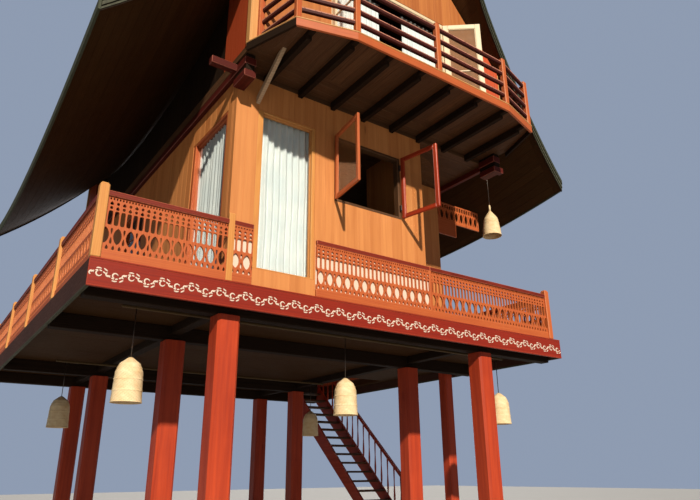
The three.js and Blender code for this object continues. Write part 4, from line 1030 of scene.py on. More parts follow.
# A run of railing: its top rail, and a list of its foot board and pierced panel. ends and place are in the
# facing's own along and out directions
def railingRun(look, ends, place, foot, top, thick=rails["thick"]):
    footTop, railLow = foot + carving["foot"], top - carving["topRail"]
    wide, slim = thick / 2, min(rails["footThick"], thick) / 2
    rail = timbers(rowOf(ends, (railLow, top), (place - wide, place + wide), look), 0.008)
    board = timbers(rowOf(ends, (foot, footTop), (place - slim, place + slim), look), 0.006)
    return rail, [board, *piercedRun(ends, (footTop - 0.001, railLow + 0.001), place, look)]


# Square posts with a low cap, as in the CAD railing
def railPosts(places, size, foot, top):
    half, shoulder = size / 2, top - rails["postCap"]
    neck = half - rails["neckIn"]
    shafts = [[x - half, x + half, y - half, y + half, foot, shoulder] for x, y in places]
    necks = [[x - neck, x + neck, y - neck, y + neck, shoulder - rails["neckDown"], top] for x, y in places]
    return [timbers(shafts, 0.010), timbers(necks, 0.007)]


def makeRailings():
    foot, postTop = boxOf("front_wall")[0][2], boxOf("railing_left")[1][2]
    top, size = postTop - rails["topDrop"], rails["postSize"]
    leftX, rightX = boxOf("railing_left")[0][0] + size / 2, boxOf("railing_right")[1][0] - size / 2
    outY, wallY, wallX, bayX, joinX = [rails[key] for key in ("outY", "wallY", "wallX", "bayX", "joinX")]
    lightLeft, lightRight = boxOf("front_tall_light")[:, 0]
    panelFrom = lightRight + backing["from"]
    free, slim = rails["thick"], rails["wallThick"]

    def makeRuns(side, runs):
        bars, panels = [], []
        for look, ends, place, thick in runs:
            bar, rest = railingRun(look, ends, place, foot, top, thick)
            bars.append(bar)
            panels += rest
        node = ["railing_" + side.lower()]
        makePiece(f"railing{side}Panels", panels, "orangeRail", node)
        makePiece(f"railing{side}Rails", bars, "redRail", node)

    makeRuns("Left", [("front", (leftX, -wallX), outY, free), ("left", (-outY, outY), -leftX, free),
                      ("rear", (wallX, -leftX), outY, free), ("front", (bayX, lightLeft), wallY, slim)])
    free5 = railPosts([(leftX, y) for y in rails["leftPosts"]], size, foot, postTop)
    chance.random(16)        # draws that no post uses, kept so that all later boards keep their tones
    rearY, frontY = wallPosts["y"], [-y for y in wallPosts["y"][::-1]]
    bay = timbers([[*wallPosts["bayX"], *y, foot, postTop] for y in (frontY, rearY)])
    makePiece("railingLeftPosts", [*free5, bay], "yellowPost", ["railing_left"])

    makeRuns("Right", [("front", (panelFrom, joinX), wallY, slim), ("front", (joinX, rightX), outY, free),
                       ("right", (-outY, outY), rightX, free), ("rear", (-rightX, -wallX), outY, free)])
    free2 = railPosts([(rightX, -rails["cornerY"]), (rightX, rails["cornerY"])], size, foot, postTop)
    joints = timbers([[*wallPosts["joinX"], *wallPosts["joinY"], foot, postTop - wallPosts["joinDrop"]],
                      [*wallPosts["rearX"], *rearY, foot, postTop]])
    makePiece("railingRightPosts", [*free2, joints], "orangeRail", ["railing_right"])
    backs = [[*ends, *backing["y"], foot + backing["foot"], top - backing["top"]]
             for ends in ((panelFrom, backing["to"]), (bayX, lightLeft))]
    makePiece("panelBacking", timbers(backs, 0.001), "creamPaint")

    side, end = boxOf("stairwell_railing_side"), boxOf("stairwell_railing_end")
    half = rails["guardPost"] / 2
    guardX, guardY = (side[0][0] + side[1][0]) / 2, (end[0][1] + end[1][1]) / 2
    ends = (side[0][1] + half, side[1][1] - half)
    rail, rest = railingRun("right", ends, guardX, foot, top)
    guardPosts = railPosts([(guardX, y) for y in ends], rails["guardPost"], foot, postTop)
    makePiece("wellGuardSide", [rail, *rest, *guardPosts], "orangeRail",
              ["stairwell_railing_side"])
    rail, rest = railingRun("front", (end[0][0], end[1][0]), -guardY, foot, top)
    makePiece("wellGuardEnd", [rail, *rest], "orangeRail", ["stairwell_railing_end"])


makeRailings()
print("railings carved")


# Windows: a moulded ring, glazing bars and glass. Each unit has its facing, the width of its members and
# its upright and level bars
glazing = {"bar": 0.022, "barDepth": 0.03, "glassThick": 0.005, "bead": 0.012, "frameRing": 0.045}
fixedUnits = {
    "front_tall_light": ("front", (0.080, 0.050, 0.020, 0.030), (0, 0)),
    "left_tall_light": ("left", (0.085, 0.045, 0.020, 0.030), (0, 0)),
    "left_window": ("left", 0.060, (1, 1)), "right_window": ("right", 0.060, (1, 1)),
    "rear_window": ("rear", 0.060, (1, 1)), "upper_rear_window": ("rear", 0.060, (2, 1)),
}


# width is one number, or the widths of the left, right, foot and head members
def ringTimbers(x, z, width, depth, place, turn):
    left, right, foot, head = np.broadcast_to(width, 4)
    out = (place - depth / 2, place + depth / 2)
    inX = (x[0] + left, x[1] - right)
    rows = [[x[0], inX[0], *z, *out], [inX[1], x[1], *z, *out],
            [*inX, z[0], z[0] + foot, *out], [*inX, z[1] - head, z[1], *out]]
    return turnedTimbers(rows, turn)


# A ring with its beads, bars and one sheet of glass, in the given directions. bars is how many upright
# and level glazing bars cross the glass
def glazed(x, z, width, depth, place, turn, bars=(0, 0), move=(0, 0, 0)):
    parts = [ringTimbers(x, z, width, depth, place, turn)]
    left, right, foot, head = np.broadcast_to(width, 4)
    inX, inZ = (x[0] + left, x[1] - right), (z[0] + foot, z[1] - head)
    wide, deep, thick = glazing["bar"] / 2, glazing["barDepth"] / 2, glazing["glassThick"] / 2
    parts.append(ringTimbers(inX, inZ, glazing["bead"], 2 * deep, place, turn))

    def places(ends, count):
        return ends[0] + np.arange(1, count + 1) / (count + 1) * (ends[1] - ends[0])

    rows = [[m - wide, m + wide, *inZ, place - deep, place + deep] for m in places(inX, bars[0])]
    rows += [[*inX, m - wide, m + wide, place - deep, place + deep] for m in places(inZ, bars[1])]
    if rows:
        parts.append(turnedTimbers(rows, turn, 0.004))
    pane = turnedTimbers([*inX, *inZ, place - thick, place + thick], turn, 0.0005)
    for part in [*parts, pane]:
        part["points"] = part["points"] + np.asarray(move)
    return parts, pane


# A pane casts no shadow and takes no bounce, so the sun reaches what stands behind it once
def makePane(name, pane, node, finish="glass"):
    made = makePiece(name, pane, finish, [node])
    made.visible_shadow = False
    made.visible_diffuse = False


def makeWindows():
    for node, (look, width, bars) in fixedUnits.items():
        x0, x1, z0, z1 = openingOf(node, look)
        inner, outer = spanOf(node, look)[2]
        depth, place = outer - inner, (inner + outer) / 2
        parts, pane = glazed((x0, x1), (z0, z1), width, depth, place, facing[look], bars)
        finish = "yellowPost" if node == "front_tall_light" else "orangeRail"
        makePiece(node + "_frame", parts, finish, [node])
        makePane(node + "_glass", pane, node)
    x0, x1, z0, z1 = openingOf("front_window_frame", "front")
    inner, outer = spanOf("front_window_frame", "front")[2]
    depth, place = outer - inner, (inner + outer) / 2
    ring = ringTimbers((x0, x1), (z0, z1), glazing["frameRing"], depth, place, facing["front"])
    # The ring round the casement opening is dark brown: painted shade in the opening
    makePiece("front_window_ring", ring, "brownBoard", ["front_window_frame"])


# Casements stand open on their hinges. The leaf's own axes are across, up and through
casements = {"leaves": [("left", -97.5, -0.77, 1, "orangeRail"), ("right", -79.0, 0.43, -1, "redPost")],
             "hingeY": -3.981, "width": 0.670, "depth": 0.038, "ring": 0.055, "up": (5.138, 6.142),
             "hingeX": (0.005, 0.035), "hingeOut": 0.008, "hingeBack": -3.9453, "hingeIn": 0.17,
             "hingeHalf": 0.045}


def leafTurn(degrees):
    a = np.radians(degrees)
    across = np.array([np.cos(a), np.sin(a), 0])
    return np.array([across, [0, 0, 1], [across[1], -across[0], 0]])


def makeCasements():
    facts = casements
    low, high = facts["up"][0] + facts["hingeIn"], facts["up"][1] - facts["hingeIn"]
    for name, angle, hingeX, sign, finish in facts["leaves"]:
        parts, pane = glazed((0, facts["width"]), facts["up"], facts["ring"], facts["depth"], 0.0,
                             leafTurn(angle), move=(hingeX, facts["hingeY"], 0))
        node = f"front_casement_{name}"
        makePiece(node + "_leaf", parts, finish, [node])
        makePane(node + "_glass", pane, node)
        x = [hingeX + sign * reach for reach in facts["hingeX"]]
        y = (facts["hingeY"] - facts["hingeOut"], facts["hingeBack"])
        rows = [[*x, *y, z - facts["hingeHalf"], z + facts["hingeHalf"]] for z in (low, high)]
        makePiece(node + "_hinges", timbers(rows, 0.004), "darkMetal", [node])


makeWindows()
makeCasements()


# Doors: the entrance leaf is framed with sunk panels, and the upper pair is cream with glass. The pull and
# the upper ring are given by their middles, half sizes and ends
doors = {"stile": 0.11, "panel": 0.022, "rails": (0.0, 0.42, 0.72, 1.0), "panelIn": (0.01, 0.02),
         "pull": (0.06, 1.0), "pullHalf": (0.018, 0.07, 0.055),
         "upperRing": ((-1.1297, 1.1297), (6.8003, 8.6997), 0.060, 0.110, 4.34),
         "upperWidth": 0.62, "upperUp": (6.83, 8.67), "upperStile": 0.085, "upperDepth": 0.038,
         "upperLeaves": [(-1.10, -4.391, -90.0), (1.10, -4.404, -39.0)]}


def makeDoors():
    x, z, out = spanOf("entrance_door", "right")
    place, stile, panel = (out[0] + out[1]) / 2, doors["stile"], doors["panel"] / 2
    thick = (out[1] - out[0]) / 2
    out = (place - thick, place + thick)
    rows = [[x[0], x[0] + stile, *z, *out], [x[1] - stile, x[1], *z, *out]]
    for share in doors["rails"]:
        bottom = z[0] + share * (z[1] - z[0] - stile)
        rows.append([x[0] + stile, x[1] - stile, bottom, bottom + stile, *out])
    inX, inZ = doors["panelIn"]
    rows.append([x[0] + stile - inX, x[1] - stile + inX,
                 z[0] + inZ, z[1] - inZ, place - panel, place + panel])
    makePiece("entranceDoorLeaf", turnedTimbers(rows, facing["right"]), "redPost",
              ["entrance_door"])
    middle = (x[0] + doors["pull"][0], z[0] + doors["pull"][1], place)
    row = [m + sign * half for m, half in zip(middle, doors["pullHalf"]) for sign in (-1, 1)]
    makePiece("entranceDoorPull", turnedTimbers(row, facing["right"], 0.012), "darkMetal")

    parts, panes = [ringTimbers(*doors["upperRing"], facing["front"])], []
    for x, y, angle in doors["upperLeaves"]:
        leaf, pane = glazed((0, doors["upperWidth"]), doors["upperUp"], doors["upperStile"],
                            doors["upperDepth"], 0.0, leafTurn(angle), (0, 1), (x, y, 0))
        parts += leaf
        panes.append(pane)
    makePiece("upperDoorFrames", parts, "creamFrame", ["upper_door"])
    makePane("upperDoorGlass", panes[0], "upper_door")
    makePane("upperDoorPaintedShadeGlass", panes[1], "upper_door", "milkyGlass")


makeDoors()
print("windows and doors made")


# Balcony: boards on joists, a mitred fascia with a lit lip, square posts and four rails
balcony = {"half": [[2.39, -4.40], [2.12, -5.14], [1.375, -5.34], [0.0, -5.35]],
           "railHalf": [[2.25, -4.40], [2.10, -5.128], [1.365, -5.328], [0.0, -5.338]],
           "wall": -4.4006, "boards": 34, "boardTop": 6.71, "board": 0.04,
           "joists": [-1.9, -1.36, -0.815, -0.27, 0.27, 0.815, 1.36, 1.9], "joistWide": 0.07,
           "joistLow": 6.55, "fasciaUp": (6.60, 6.73), "fasciaThick": 0.032, "fasciaBack": 0.006,
           "fasciaIn": -0.005, "lip": 0.020, "postSize": 0.075, "postTop": 7.54,
           "rails": (6.85, 7.04, 7.23, 7.42), "railDeep": 0.062, "railThick": 0.038, "paintedHighlightEdge": 0.020,
           "brace": [(-3.9506, 6.22), (-4.64, 6.67), (-4.53, 6.67), (-3.9506, 6.32)],
           "braceX": (-2.025, -1.975), "boardGap": 0.001, "boardIn": 0.004, "boardLeast": 0.01,
           "joistIn": 0.012, "joistHead": 0.10, "joistUp": 0.002}


# Upper floor: boards over the lower walls and, thinner, over the stretch that stands out past each gable,
# where joist ends carry it. Red beams lie along the sides, with stacked ends and short outriggers
upperFloor = {"out": 2.37, "end": 4.40, "beam": (6.51, 6.62), "stub": (6.33, 6.43), "beamEnd": 4.29,
              "jettyLow": 6.67, "joistLow": 6.55, "topBoard": 0.025, "underBoard": 0.015,
              "cornerWide": 0.085, "cornerThick": 0.020, "redFrom": 1.90, "wallX": 2.3006, "beamIn": 2.21,
              "spacerIn": 0.02, "spacers": (6.425, 6.515, 6.615), "outriggerY": (3.96, 4.06),
              "outriggerUp": (6.52, 6.62), "boardWidths": (0.14, 0.20, 0.15), "gableGap": 0.012,
              "sideGap": 0.03, "redThick": 0.012}


def makeUpperFloor():
    facts = upperFloor
    floorHigh = boxOf("upper_floor")[1]
    wall, out, end, jetty = boxOf("front_wall"), facts["out"], facts["end"], facts["jettyLow"]
    wallEnd, bottom, floorTop = -wall[0][1] + 2 * hair, wall[1][2] + hair, floorHigh[2]
    reds, darks = [], []
    for side in (-1, 1):
        reds.append([side * facts["wallX"], side * out, -wallEnd, wallEnd, *facts["beam"]])
        beamX = (side * facts["beamIn"], side * out)
        spacerX = (side * (facts["beamIn"] + facts["spacerIn"]), side * (out - facts["spacerIn"]))
        for turn in (-1, 1):
            y = (turn * wallEnd, turn * facts["beamEnd"])
            reds += [[*beamX, *y, *facts["beam"]], [*beamX, *y, *facts["stub"]]]
            reds.append([side * out, side * floorHigh[0], *[turn * a for a in facts["outriggerY"]],
                         *facts["outriggerUp"]])
            darks += [[*spacerX, *y, *facts["spacers"][:2]], [*spacerX, *y, facts["spacers"][2], jetty]]
    wide = balcony["joistWide"] / 2
    darks += [[x - wide, x + wide, turn * wallEnd, turn * end, facts["joistLow"], jetty]
              for x in balcony["joists"] for turn in (-1, 1)]
    # The side beams are a deep dark red: painted shade
    makePiece("sideBeams", timbers(reds, 0.007), "darkRed", ["upper_floor"])
    makePiece("jettyJoists", timbers(darks, 0.007), "darkBoard", ["upper_floor"])

    widths, under = facts["boardWidths"], facts["underBoard"]
    cuts = boardCuts([-out, out], -end, lambda x: end, [], widths[0])
    top = boards(cuts, floorTop, facts["topBoard"], "top", 0.002)
    coreUp = (jetty + under, floorTop - facts["topBoard"] - seam)
    core = timbers([[-out, out, -wallEnd, wallEnd, bottom + under + seam, coreUp[1]],
                    [-out, out, -end, -wallEnd, *coreUp], [-out, out, wallEnd, end, *coreUp]], 0.001)

    def underside(along, place, width):
        return boards(boardCuts(along, -out, lambda y: out, [], width), -place, under, "under", 0.004)

    unders = [underside([-wallEnd, wallEnd], bottom, widths[1]),
              underside([-end, -wallEnd], jetty, widths[2]),
              underside([wallEnd, end], jetty, widths[2])]
    makePiece("upperFloorBoards", [top, core, *unders], "brownBoard", ["upper_floor"])

    # Corner boards from the floor to the roof, and the red board beside the front one
    wide, thick = facts["cornerWide"], facts["cornerThick"]
    foot = floorTop + 0.001

    def upright(a, b, tops, face, look, thick=thick):
        return boards([[a, b, foot, foot, *tops]], face + thick, thick, look, 0.004)

    parts, red = [], []
    for look in ("front", "rear"):
        tops = [underRoofAt(x, end) - facts["gableGap"] for x in (out, out - wide)]
        parts.append(upright(-out, -out + wide, tops, end, look))
        (red if look == "front" else parts).append(upright(out - wide, out, tops[::-1], end, look))
    a, b = facts["redFrom"], out - wide - 0.002
    tops = [underRoofAt(x, end) - facts["gableGap"] for x in (a, b)]
    red.append(upright(a, b, tops, end, "front", facts["redThick"]))
    tops = [underRoofAt(out, end - wide) - facts["sideGap"]] * 2
    for look in ("left", "right"):
        parts.append(upright(-end - thick, -end + wide, tops, out, look))
        parts.append(upright(end - wide, end + thick, tops, out, look))
    makePiece("cornerBoards", parts, "paleBoard")
    makePiece("gableEndPanel", red, "gablePanel")


makeUpperFloor()


# The whole outline from its left half, with both ends on the wall
def balconyPath(half):
    path = np.vstack([np.array(half) * [-1, 1], half[-2::-1]])
    path[0, 1] = path[-1, 1] = balcony["wall"]
    return path


def makeBalcony():
    path, wallY, up = balconyPath(balcony["half"]), balcony["wall"], balcony["fasciaUp"]
    thick, back, lipLow = balcony["fasciaThick"], balcony["fasciaIn"], up[1] - balcony["lip"]
    node = ["balcony_floor"]
    board = sectionOf([back, thick - balcony["fasciaBack"]], [up[0], lipLow], 0.003)
    main = mitredRun(path, board, wallY=wallY, kept=slice(1, -1))
    ends = [mitredRun(path, board, wallY=wallY, kept=kept) for kept in (slice(0, 2), slice(-2, None))]
    lip = mitredRun(path, sectionOf([back, thick], [lipLow, up[1]], 0.006), wallY=wallY)
    makePiece("balconyFascia", main, "orangeRail", node, outward=True)
    # The fascia's two end runs are near black: painted shade
    makePiece("balconyEndFascias", ends, "darkBoard", node, outward=True)
    makePiece("balconyLip", lip, "paleBoard", node, outward=True)

    def frontAt(x):
        return float(np.interp(x, path[:, 0], path[:, 1]))

    edges = np.linspace(path[0, 0], path[-1, 0], balcony["boards"] + 1)
    cuts = []
    for a, b in zip(edges[:-1] + balcony["boardGap"], edges[1:] - balcony["boardGap"]):
        lows = [min(frontAt(x) + balcony["boardIn"], wallY - balcony["boardLeast"]) for x in (a, b)]
        cuts.append([a, b, *lows, wallY, wallY])
    floor = boards(cuts, balcony["boardTop"], balcony["board"], "top", 0.003)
    makePiece("balconyBoards", floor, "brownBoard", node)
    rows, wide = [], balcony["joistWide"] / 2
    joistTop = balcony["boardTop"] - balcony["board"]
    for x in balcony["joists"]:
        front = max(frontAt(x - wide), frontAt(x + wide)) + balcony["joistIn"]
        back = front + balcony["joistHead"]
        rows.append([x - wide, x + wide, front, back, up[0] + balcony["joistUp"], joistTop])
        rows.append([x - wide, x + wide, back + seam, wallY, balcony["joistLow"], joistTop])
    makePiece("balconyJoists", timbers(rows), "darkBoard", node)
    # The brace's grey-brown is lighter than its own colour: painted light, as the brace stands in shade
    # under the balcony
    brace = prism(balcony["brace"], balcony["braceX"], boxFaces, 0.2)
    makePiece("balconyBrace", brace, "greyBoard", node, outward=True)

    # Each rail is dark, with a painted highlight along the upper edge of its face: faces 3 to 5 round the
    # section
    half, line = balcony["railThick"] / 2, balconyPath(balcony["railHalf"])
    bars = []
    for z in balcony["rails"]:
        top = z + balcony["railDeep"]
        section = sectionOf([-half, half], [z, top], 0.006)
        section.insert(3, [half, top - balcony["paintedHighlightEdge"]])
        bars.append(mitredRun(line, section, float(chance.random()), wallY))
        bars[-1]["quadEdge"] = np.tile([0, 0, 0, 1, 1, 1, 0], len(line) - 1)
    makePiece("balconyRails", bars, "darkRail", ["balcony_railing"], outward=True)
    size = balcony["postSize"]
    line[:, 1] = np.minimum(line[:, 1], wallY - size / 2)
    uprights = railPosts(line, size, up[1] + hair, balcony["postTop"])
    makePiece("balconyPosts", uprights, "orangeRail", ["balcony_railing"])


makeBalcony()
print("upper floor and balcony made")


# The screen over the right veranda: a solid board with a stepped foot, and ovals under slots above it
screen = {"x": (2.3703, 3.05, 3.70), "z": (5.89, 6.16, 6.56), "solidTo": 6.215, "place": 2.5,
          "thick": 0.03, "edge": 0.022,
          "cells": [(0.13, 0.87, 0.00, 0.66, "lens", 0.90, 0.92),
                    (0.87, 1.13, 0.00, 0.32, "drop", 0.80, 0.86),
                    (0.87, 1.13, 0.32, 0.66, "fan", 0.80, 0.80),
                    *[(x, x + 0.5, 0.66, 0.70, "closed", 0.02, 0.02) for x in (0.0, 0.5)],
                    *[(x, x + 0.5, 0.70, 1.00, "slot", 0.74, 0.90) for x in (0.0, 0.5)]]}


def makeScreen():
    (x0, x1, x2), (z0, z1, z2) = screen["x"], screen["z"]
    out = (screen["place"] - screen["thick"] / 2, screen["place"] + screen["thick"] / 2)
    edge, solid = screen["edge"], screen["solidTo"]
    rows = [[x0, x1, z0, solid, *out], [x1 - seam, x2, z1, solid, *out],
            [x0, x2, z2 - edge, z2, *out], [x2 - edge, x2, solid, z2 - edge, *out]]
    parts = [turnedTimbers(rows, facing["front"], 0.004)]
    up = (solid - 0.001, z2 - edge + 0.001)
    parts += piercedRun((x0, x2 - edge), up, screen["place"], "front", screen["cells"])
    makePiece("verandaScreen", parts, "orangeRail", ["veranda_screen"])


makeScreen()


# Stair: two strings, a tread on each step, and turned balusters under the handrail. A baluster is given by
# its radius at shares of its height
stair = {"x": (2.79, 3.54), "foot": -0.77, "head": 3.1997, "risers": 20, "string": 0.04, "tread": 0.04,
         "treadIn": 0.005, "nosing": 0.025, "stringFoot": (-0.12, 0.13), "stringDrop": 0.23,
         "stringHead": 0.09, "headDrop": 0.02, "rail": 0.9, "railDeep": 0.075, "railHalf": 0.0275,
         "newel": 0.08, "newelOver": (0.14, 0.06),
         "baluster": [[0.016, 0.0], [0.016, 0.08], [0.011, 0.12], [0.019, 0.24], [0.020, 0.34],
                      [0.010, 0.62], [0.015, 0.86], [0.016, 0.90], [0.016, 1.0]]}


# A profile of (radius, height) turned round an upright axis at each place
def latheParts(places, profile, sides):
    radius, z = np.asarray(profile, float).T[:, :, None]
    t = np.arange(sides) * 2 * np.pi / sides
    x, y, z = np.broadcast_arrays(radius * np.cos(t), radius * np.sin(t), z)
    shape, grain = np.stack([x, y, z], -1), np.stack([z, x, y], -1)
    return [gridPart(shape + np.array(place), grain, float(chance.random()), around=True, caps=True)
            for place in places]


def makeStair():
    foot, head, string = stair["foot"], stair["head"], stair["string"]
    top = boxOf("deck_floor")[1][2]
    rise, going = top / stair["risers"], (head - foot) / (stair["risers"] - 1)
    i = np.arange(stair["risers"] - 1)
    front, height = foot + i * going, (i + 1) * rise
    x0, x1 = stair["x"][0] + string - stair["treadIn"], stair["x"][1] - string + stair["treadIn"]
    back = np.minimum(front + going + stair["nosing"], head)
    rows = np.stack(np.broadcast_arrays(x0, x1, front, back, height - stair["tread"], height), 1)
    makePiece("stairTreads", timbers(rows, 0.008), "brownBoard", ["entrance_stair"])
    headTop = top - stair["headDrop"]
    outline = [[foot + stair["stringFoot"][0], 0.0], [foot + stair["stringFoot"][1], 0.0],
               [head, top - rise - stair["stringDrop"]], [head, headTop],
               [head - stair["stringHead"], headTop]]
    faces = [[k, (k + 1) % 5, (k + 1) % 5 + 5, k + 5] for k in range(5)]
    tris = [[0, 1, 2], [0, 2, 3], [0, 3, 4], [5, 7, 6], [5, 8, 7], [5, 9, 8]]
    starts = (stair["x"][0], stair["x"][1] - string)
    strings = [prism(outline, (a, a + string), faces, 0.4, tris) for a in starts]
    makePiece("stairStrings", strings, "redPost", ["entrance_stair"], outward=True)

    low, high = boxOf("stair_handrail")
    x, newel = (low[0] + high[0]) / 2, stair["newel"]
    start, end = low[1] + newel / 2, high[1] - newel / 2
    newels = railPosts([(x, start)], newel, 0.0, stair["rail"] + stair["newelOver"][0])
    newels += railPosts([(x, end)], newel, top + hair, top + stair["rail"] + stair["newelOver"][1])
    lineAt = lambda y: (y - foot) * (rise / going) + stair["rail"]
    under, half = np.array([[start, lineAt(start)], [end, lineAt(end)]]), stair["railHalf"]
    bar = [*under, *(under[::-1] + [0, stair["railDeep"]])]
    rail = prism(bar, (x - half, x + half), boxFaces, 0.5)
    makePiece("stairRail", [*newels, rail], "redPost", ["stair_handrail"], outward=True)
    radius, share = np.array(stair["baluster"]).T
    balusters = []
    for y, z0 in zip(foot + (i + 0.5) * going, height):
        profile = np.column_stack([radius, z0 + share * (lineAt(y) + 0.004 - z0)])
        balusters += latheParts([(x, y, 0)], profile, 10)
    makePiece("stairBalusters", balusters, "redPost", smooth=True, outward=True)


makeStair()
print("stair and screen made")


# Bell lamps: a woven skin whose rings stand proud in bands, a rim hoop, and the pole that carries a row.
# The bell's radius at shares of the way down is given in shares of its widest
lamp = {"radius": 0.17, "height": 0.5, "top": 2.85, "sides": 72, "bands": 26, "thick": 0.006,
        "weaveDeep": 0.0025, "hoopDeep": 0.004, "hoops": 4, "hoopShare": 0.16, "poleHalf": 0.016,
        "poleLow": 3.404, "cord": 0.006, "cordTop": 3.42, "cordIn": 0.03,
        "rows": [("lamps_front", -3.3, (-3.08, -0.15, 2.95)), ("lamps_rear", 0.9, (-2.95, -0.10, 1.90))],
        "veranda": (3.02, -3.42, 6.12), "neck": (0.017, 0.013, 0.11),
        "shares": [0, 0.02, 0.15, 0.34, 0.8, 1.0], "domed": [0.03, 0.2, 0.68, 0.9, 0.96, 1.0],
        "pointed": [0.08, 0.13, 0.40, 0.76, 0.95, 1.0]}


# A bell round an upright axis: outer and inner radius over the way down. Every other strip stands in or out
# by a little, so the skin is really woven
def bellPart(x, y, top, shape="domed"):
    down = np.linspace(0.0, 1.0, lamp["bands"] * 4 + 1)[:, None]
    t = np.linspace(0, 2 * np.pi, lamp["sides"], endpoint=False)[None, :]
    plain = np.interp(down, lamp["shares"], lamp[shape]) * lamp["radius"]
    weave = lamp["weaveDeep"] * np.sin(2 * np.pi * down * lamp["bands"]) * np.cos(t * lamp["sides"] / 4)
    band = lamp["hoopDeep"] * (np.abs(np.sin(np.pi * down * lamp["hoops"])) < lamp["hoopShare"])
    outer = np.minimum(plain + weave + band - lamp["hoopDeep"], lamp["radius"] - 0.0005)
    inner = np.maximum(outer - lamp["thick"], 0.001)
    radius = np.concatenate([outer, inner[::-1]])
    height = np.concatenate([down, down[::-1]]) * lamp["height"]
    points = np.stack(np.broadcast_arrays(x + radius * np.cos(t), y + radius * np.sin(t), top - height), -1)
    grain = np.stack(np.broadcast_arrays(t * 0.1, height, radius), -1)
    return gridPart(points, grain, around=True, rowsClosed=True)


def makeTurned(name, places, profile, sides, finish, node):
    parts = latheParts([(x, y, 0) for x, y in places], profile, sides)
    makePiece(name, parts, finish, [node], smooth=True, outward=True)


def makeLamps():
    cord, below, half = lamp["cord"], lamp["cordIn"], lamp["poleHalf"]
    for node, y, places in lamp["rows"]:
        bells = [bellPart(x, y, lamp["top"]) for x in places]
        makePiece(node + "_bells", bells, "wovenBamboo", [node], smooth=True, outward=True)
        low, high = boxOf(node)
        aside = lamp["radius"] - half
        pole = [low[0], high[0], low[1] + aside, high[1] - aside, lamp["poleLow"], high[2]]
        makePiece(node + "_pole", timbers(pole, 0.010), "bambooPole", [node])
        hanger, spots = [[cord, lamp["top"] - below], [cord, lamp["cordTop"]]], [(x, y) for x in places]
        makeTurned(node + "_hangers", spots, hanger, 8, "darkMetal", node)
    x, y, top = lamp["veranda"]
    bell = bellPart(x, y, top, "pointed")
    makePiece("veranda_bell", bell, "wovenBamboo", ["veranda_lamp"], smooth=True, outward=True)
    wide, slim, tall = lamp["neck"]
    neck = [[wide, top - 0.012], [wide, top + tall * 0.5], [slim, top + tall]]
    makeTurned("veranda_neck", [(x, y)], neck, 20, "wovenBamboo", "veranda_lamp")
    hanger = [[cord, top - below], [cord, boxOf("veranda_lamp")[1][2] - 0.004]]
    makeTurned("veranda_hanger", [(x, y)], hanger, 8, "darkMetal", "veranda_lamp")


makeLamps()
print("lamps hung")


# Curtains hang from rods inside the glass. Each has its facing, ends, place, top, bottom and folds. They are
# a sum of two waves that deepen downwards, and the cloth's flat width is the length of that wavy line
curtains = {"depth": 0.028, "steps": 160, "rows": 24, "rodHalf": 0.011, "rodPast": 0.02,
            "rodUp": (-0.012, 0.010),
            "panels": [("curtainFront", "front", (-1.99, -1.02), 3.80, 6.16, 3.955, 10),
                       ("curtainLeft", "left", (2.55, 3.64), 2.19, 6.12, 3.995, 11),
                       ("curtainUpperLeft", "front", (-1.08, -0.12), 4.22, 8.62, 6.84, 10),
                       ("curtainUpperRight", "front", (0.34, 1.08), 4.22, 8.62, 6.84, 8)]}


def makeCurtains():
    u = np.linspace(0, 1, curtains["steps"] + 1)[None, :]
    w = np.linspace(0, 1, curtains["rows"] + 1)[:, None]
    half, past, (rodLow, rodHigh) = curtains["rodHalf"], curtains["rodPast"], curtains["rodUp"]
    for name, look, (a, b), place, top, bottom, folds in curtains["panels"]:
        wave = np.sin(2 * np.pi * folds * u) + 0.35 * np.sin(2 * np.pi * folds * 0.37 * u + 1.3)
        out = place + curtains["depth"] * wave * (0.55 + 0.35 * w)
        along = a + (b - a) * u + 0.006 * np.sin(3 * np.pi * w + 5 * u)
        up = top + (bottom - top) * w + 0 * u
        points = np.stack([along, up, out], -1)
        width = float(np.linalg.norm(np.diff(points, axis=1), axis=2).sum(axis=1).mean())
        grain = np.stack(np.broadcast_arrays(u * width, up, 0.0), -1)
        piece = makePiece(name, gridPart(points @ facing[look], grain), "cloth", smooth=True)
        rodUp, rodOut = (top + rodLow, top + rodHigh), (place - half, place + half)
        rodBar = timbers(rowOf((a - past, b + past), rodUp, rodOut, look))
        rod = makePiece(name + "Rod", rodBar, "darkMetal")


makeCurtains()
print("curtains hung")


# Stage, light and camera
stageFacts = {"floor": (0.38, 0.375, 0.36), "floorShade": 0.93, "floorHalf": 60.0, "floorRough": 0.8,
              "world": (0.62, 0.75, 1.0, 1), "backdrop": 0.44, "fill": 0.15,
              "sun": 5.3, "sunTravel": (0.235, 0.672, -0.412), "sunAngle": 0.03,
              "sunColour": (1.0, 0.90, 0.76),
              "rear": 1.5, "rearTravel": (-0.50, -0.75, -0.42), "rearAngle": 0.9, "rearColour": (1, 1, 1),
              "cameraPlace": (-5.046, -10.293, 1.6), "lens": 31.42, "sensor": 36.0, "clip": (0.1, 300.0),
              "right": (0.81538, -0.57887, -0.00706), "up": (-0.19407, -0.28486, 0.93867),
              "forward": (0.5454, 0.7640, 0.3446)}


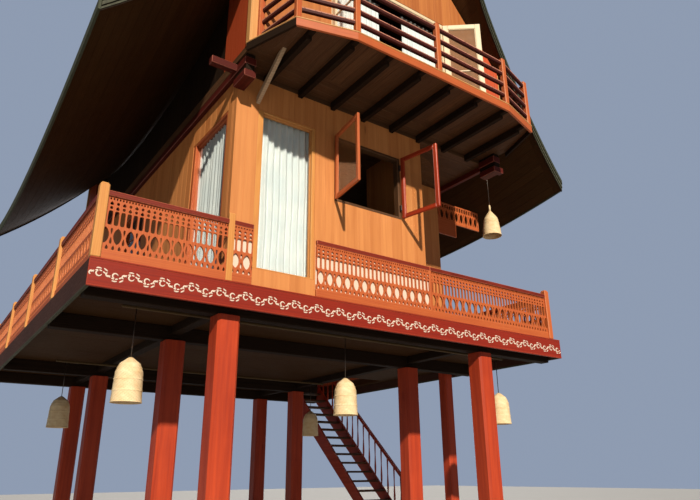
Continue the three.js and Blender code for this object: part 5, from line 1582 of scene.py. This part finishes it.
# A far light that travels along a direction: its own z axis points back along it
def addSun(name, strength, travel, angle, colour):
    light = bpy.data.lights.new(name, "SUN")
    light.energy, light.angle, light.color = strength, angle, colour
    back = -np.array(travel) / np.linalg.norm(travel)
    side = np.cross((0, 0, 1), back)
    side /= np.linalg.norm(side)
    holder = bpy.data.objects.new(name, light)
    holder.matrix_world = Matrix([list(side), list(np.cross(back, side)), list(back)]).transposed().to_4x4()
    scene.collection.objects.link(holder)


def makeStage():
    half = stageFacts["floorHalf"]
    mesh = bpy.data.meshes.new("floor")
    corners = [(-half, -half, 0), (half, -half, 0), (half, half, 0), (-half, half, 0)]
    mesh.from_pydata(corners, [], [(0, 1, 2, 3)])
    floor = bpy.data.objects.new("floor", mesh)
    scene.collection.objects.link(floor)
    material, tree, shader = newMaterial("paleFloor")
    base = stageFacts["floor"]
    shade = tuple(stageFacts["floorShade"] * c for c in base)
    feed(tree, shader, {"Base Color": mixed(tree, noise(tree, objectPlace(tree), 0.4, 3.0), base, shade),
                        "Roughness": stageFacts["floorRough"]})
    mesh.materials.append(material)

    scene.view_settings.view_transform = "Standard"
    world = bpy.data.worlds.new("softStudio")
    scene.world = world
    world.use_nodes = True
    tree = world.node_tree
    seen = addNode(tree, "LightPath").outputs["Is Camera Ray"]
    strength = ranged(tree, seen, 0.0, 1.0, stageFacts["fill"], stageFacts["backdrop"])
    feed(tree, tree.nodes["Background"], {0: stageFacts["world"], 1: strength})
    for name, key in (("keyLight", "sun"), ("rearLight", "rear")):
        addSun(name, *[stageFacts[key + part] for part in ("", "Travel", "Angle", "Colour")])


def makeCamera():
    data = bpy.data.cameras.new("camera")
    data.lens, data.sensor_width = stageFacts["lens"], stageFacts["sensor"]
    data.clip_start, data.clip_end = stageFacts["clip"]
    camera = bpy.data.objects.new("camera", data)
    back = [-value for value in stageFacts["forward"]]
    turn = Matrix([stageFacts["right"], stageFacts["up"], back]).transposed().to_4x4()
    camera.matrix_world = Matrix.Translation(stageFacts["cameraPlace"]) @ turn
    scene.collection.objects.link(camera)
    scene.camera = camera


makeStage()
makeCamera()

bpy.context.view_layer.update()
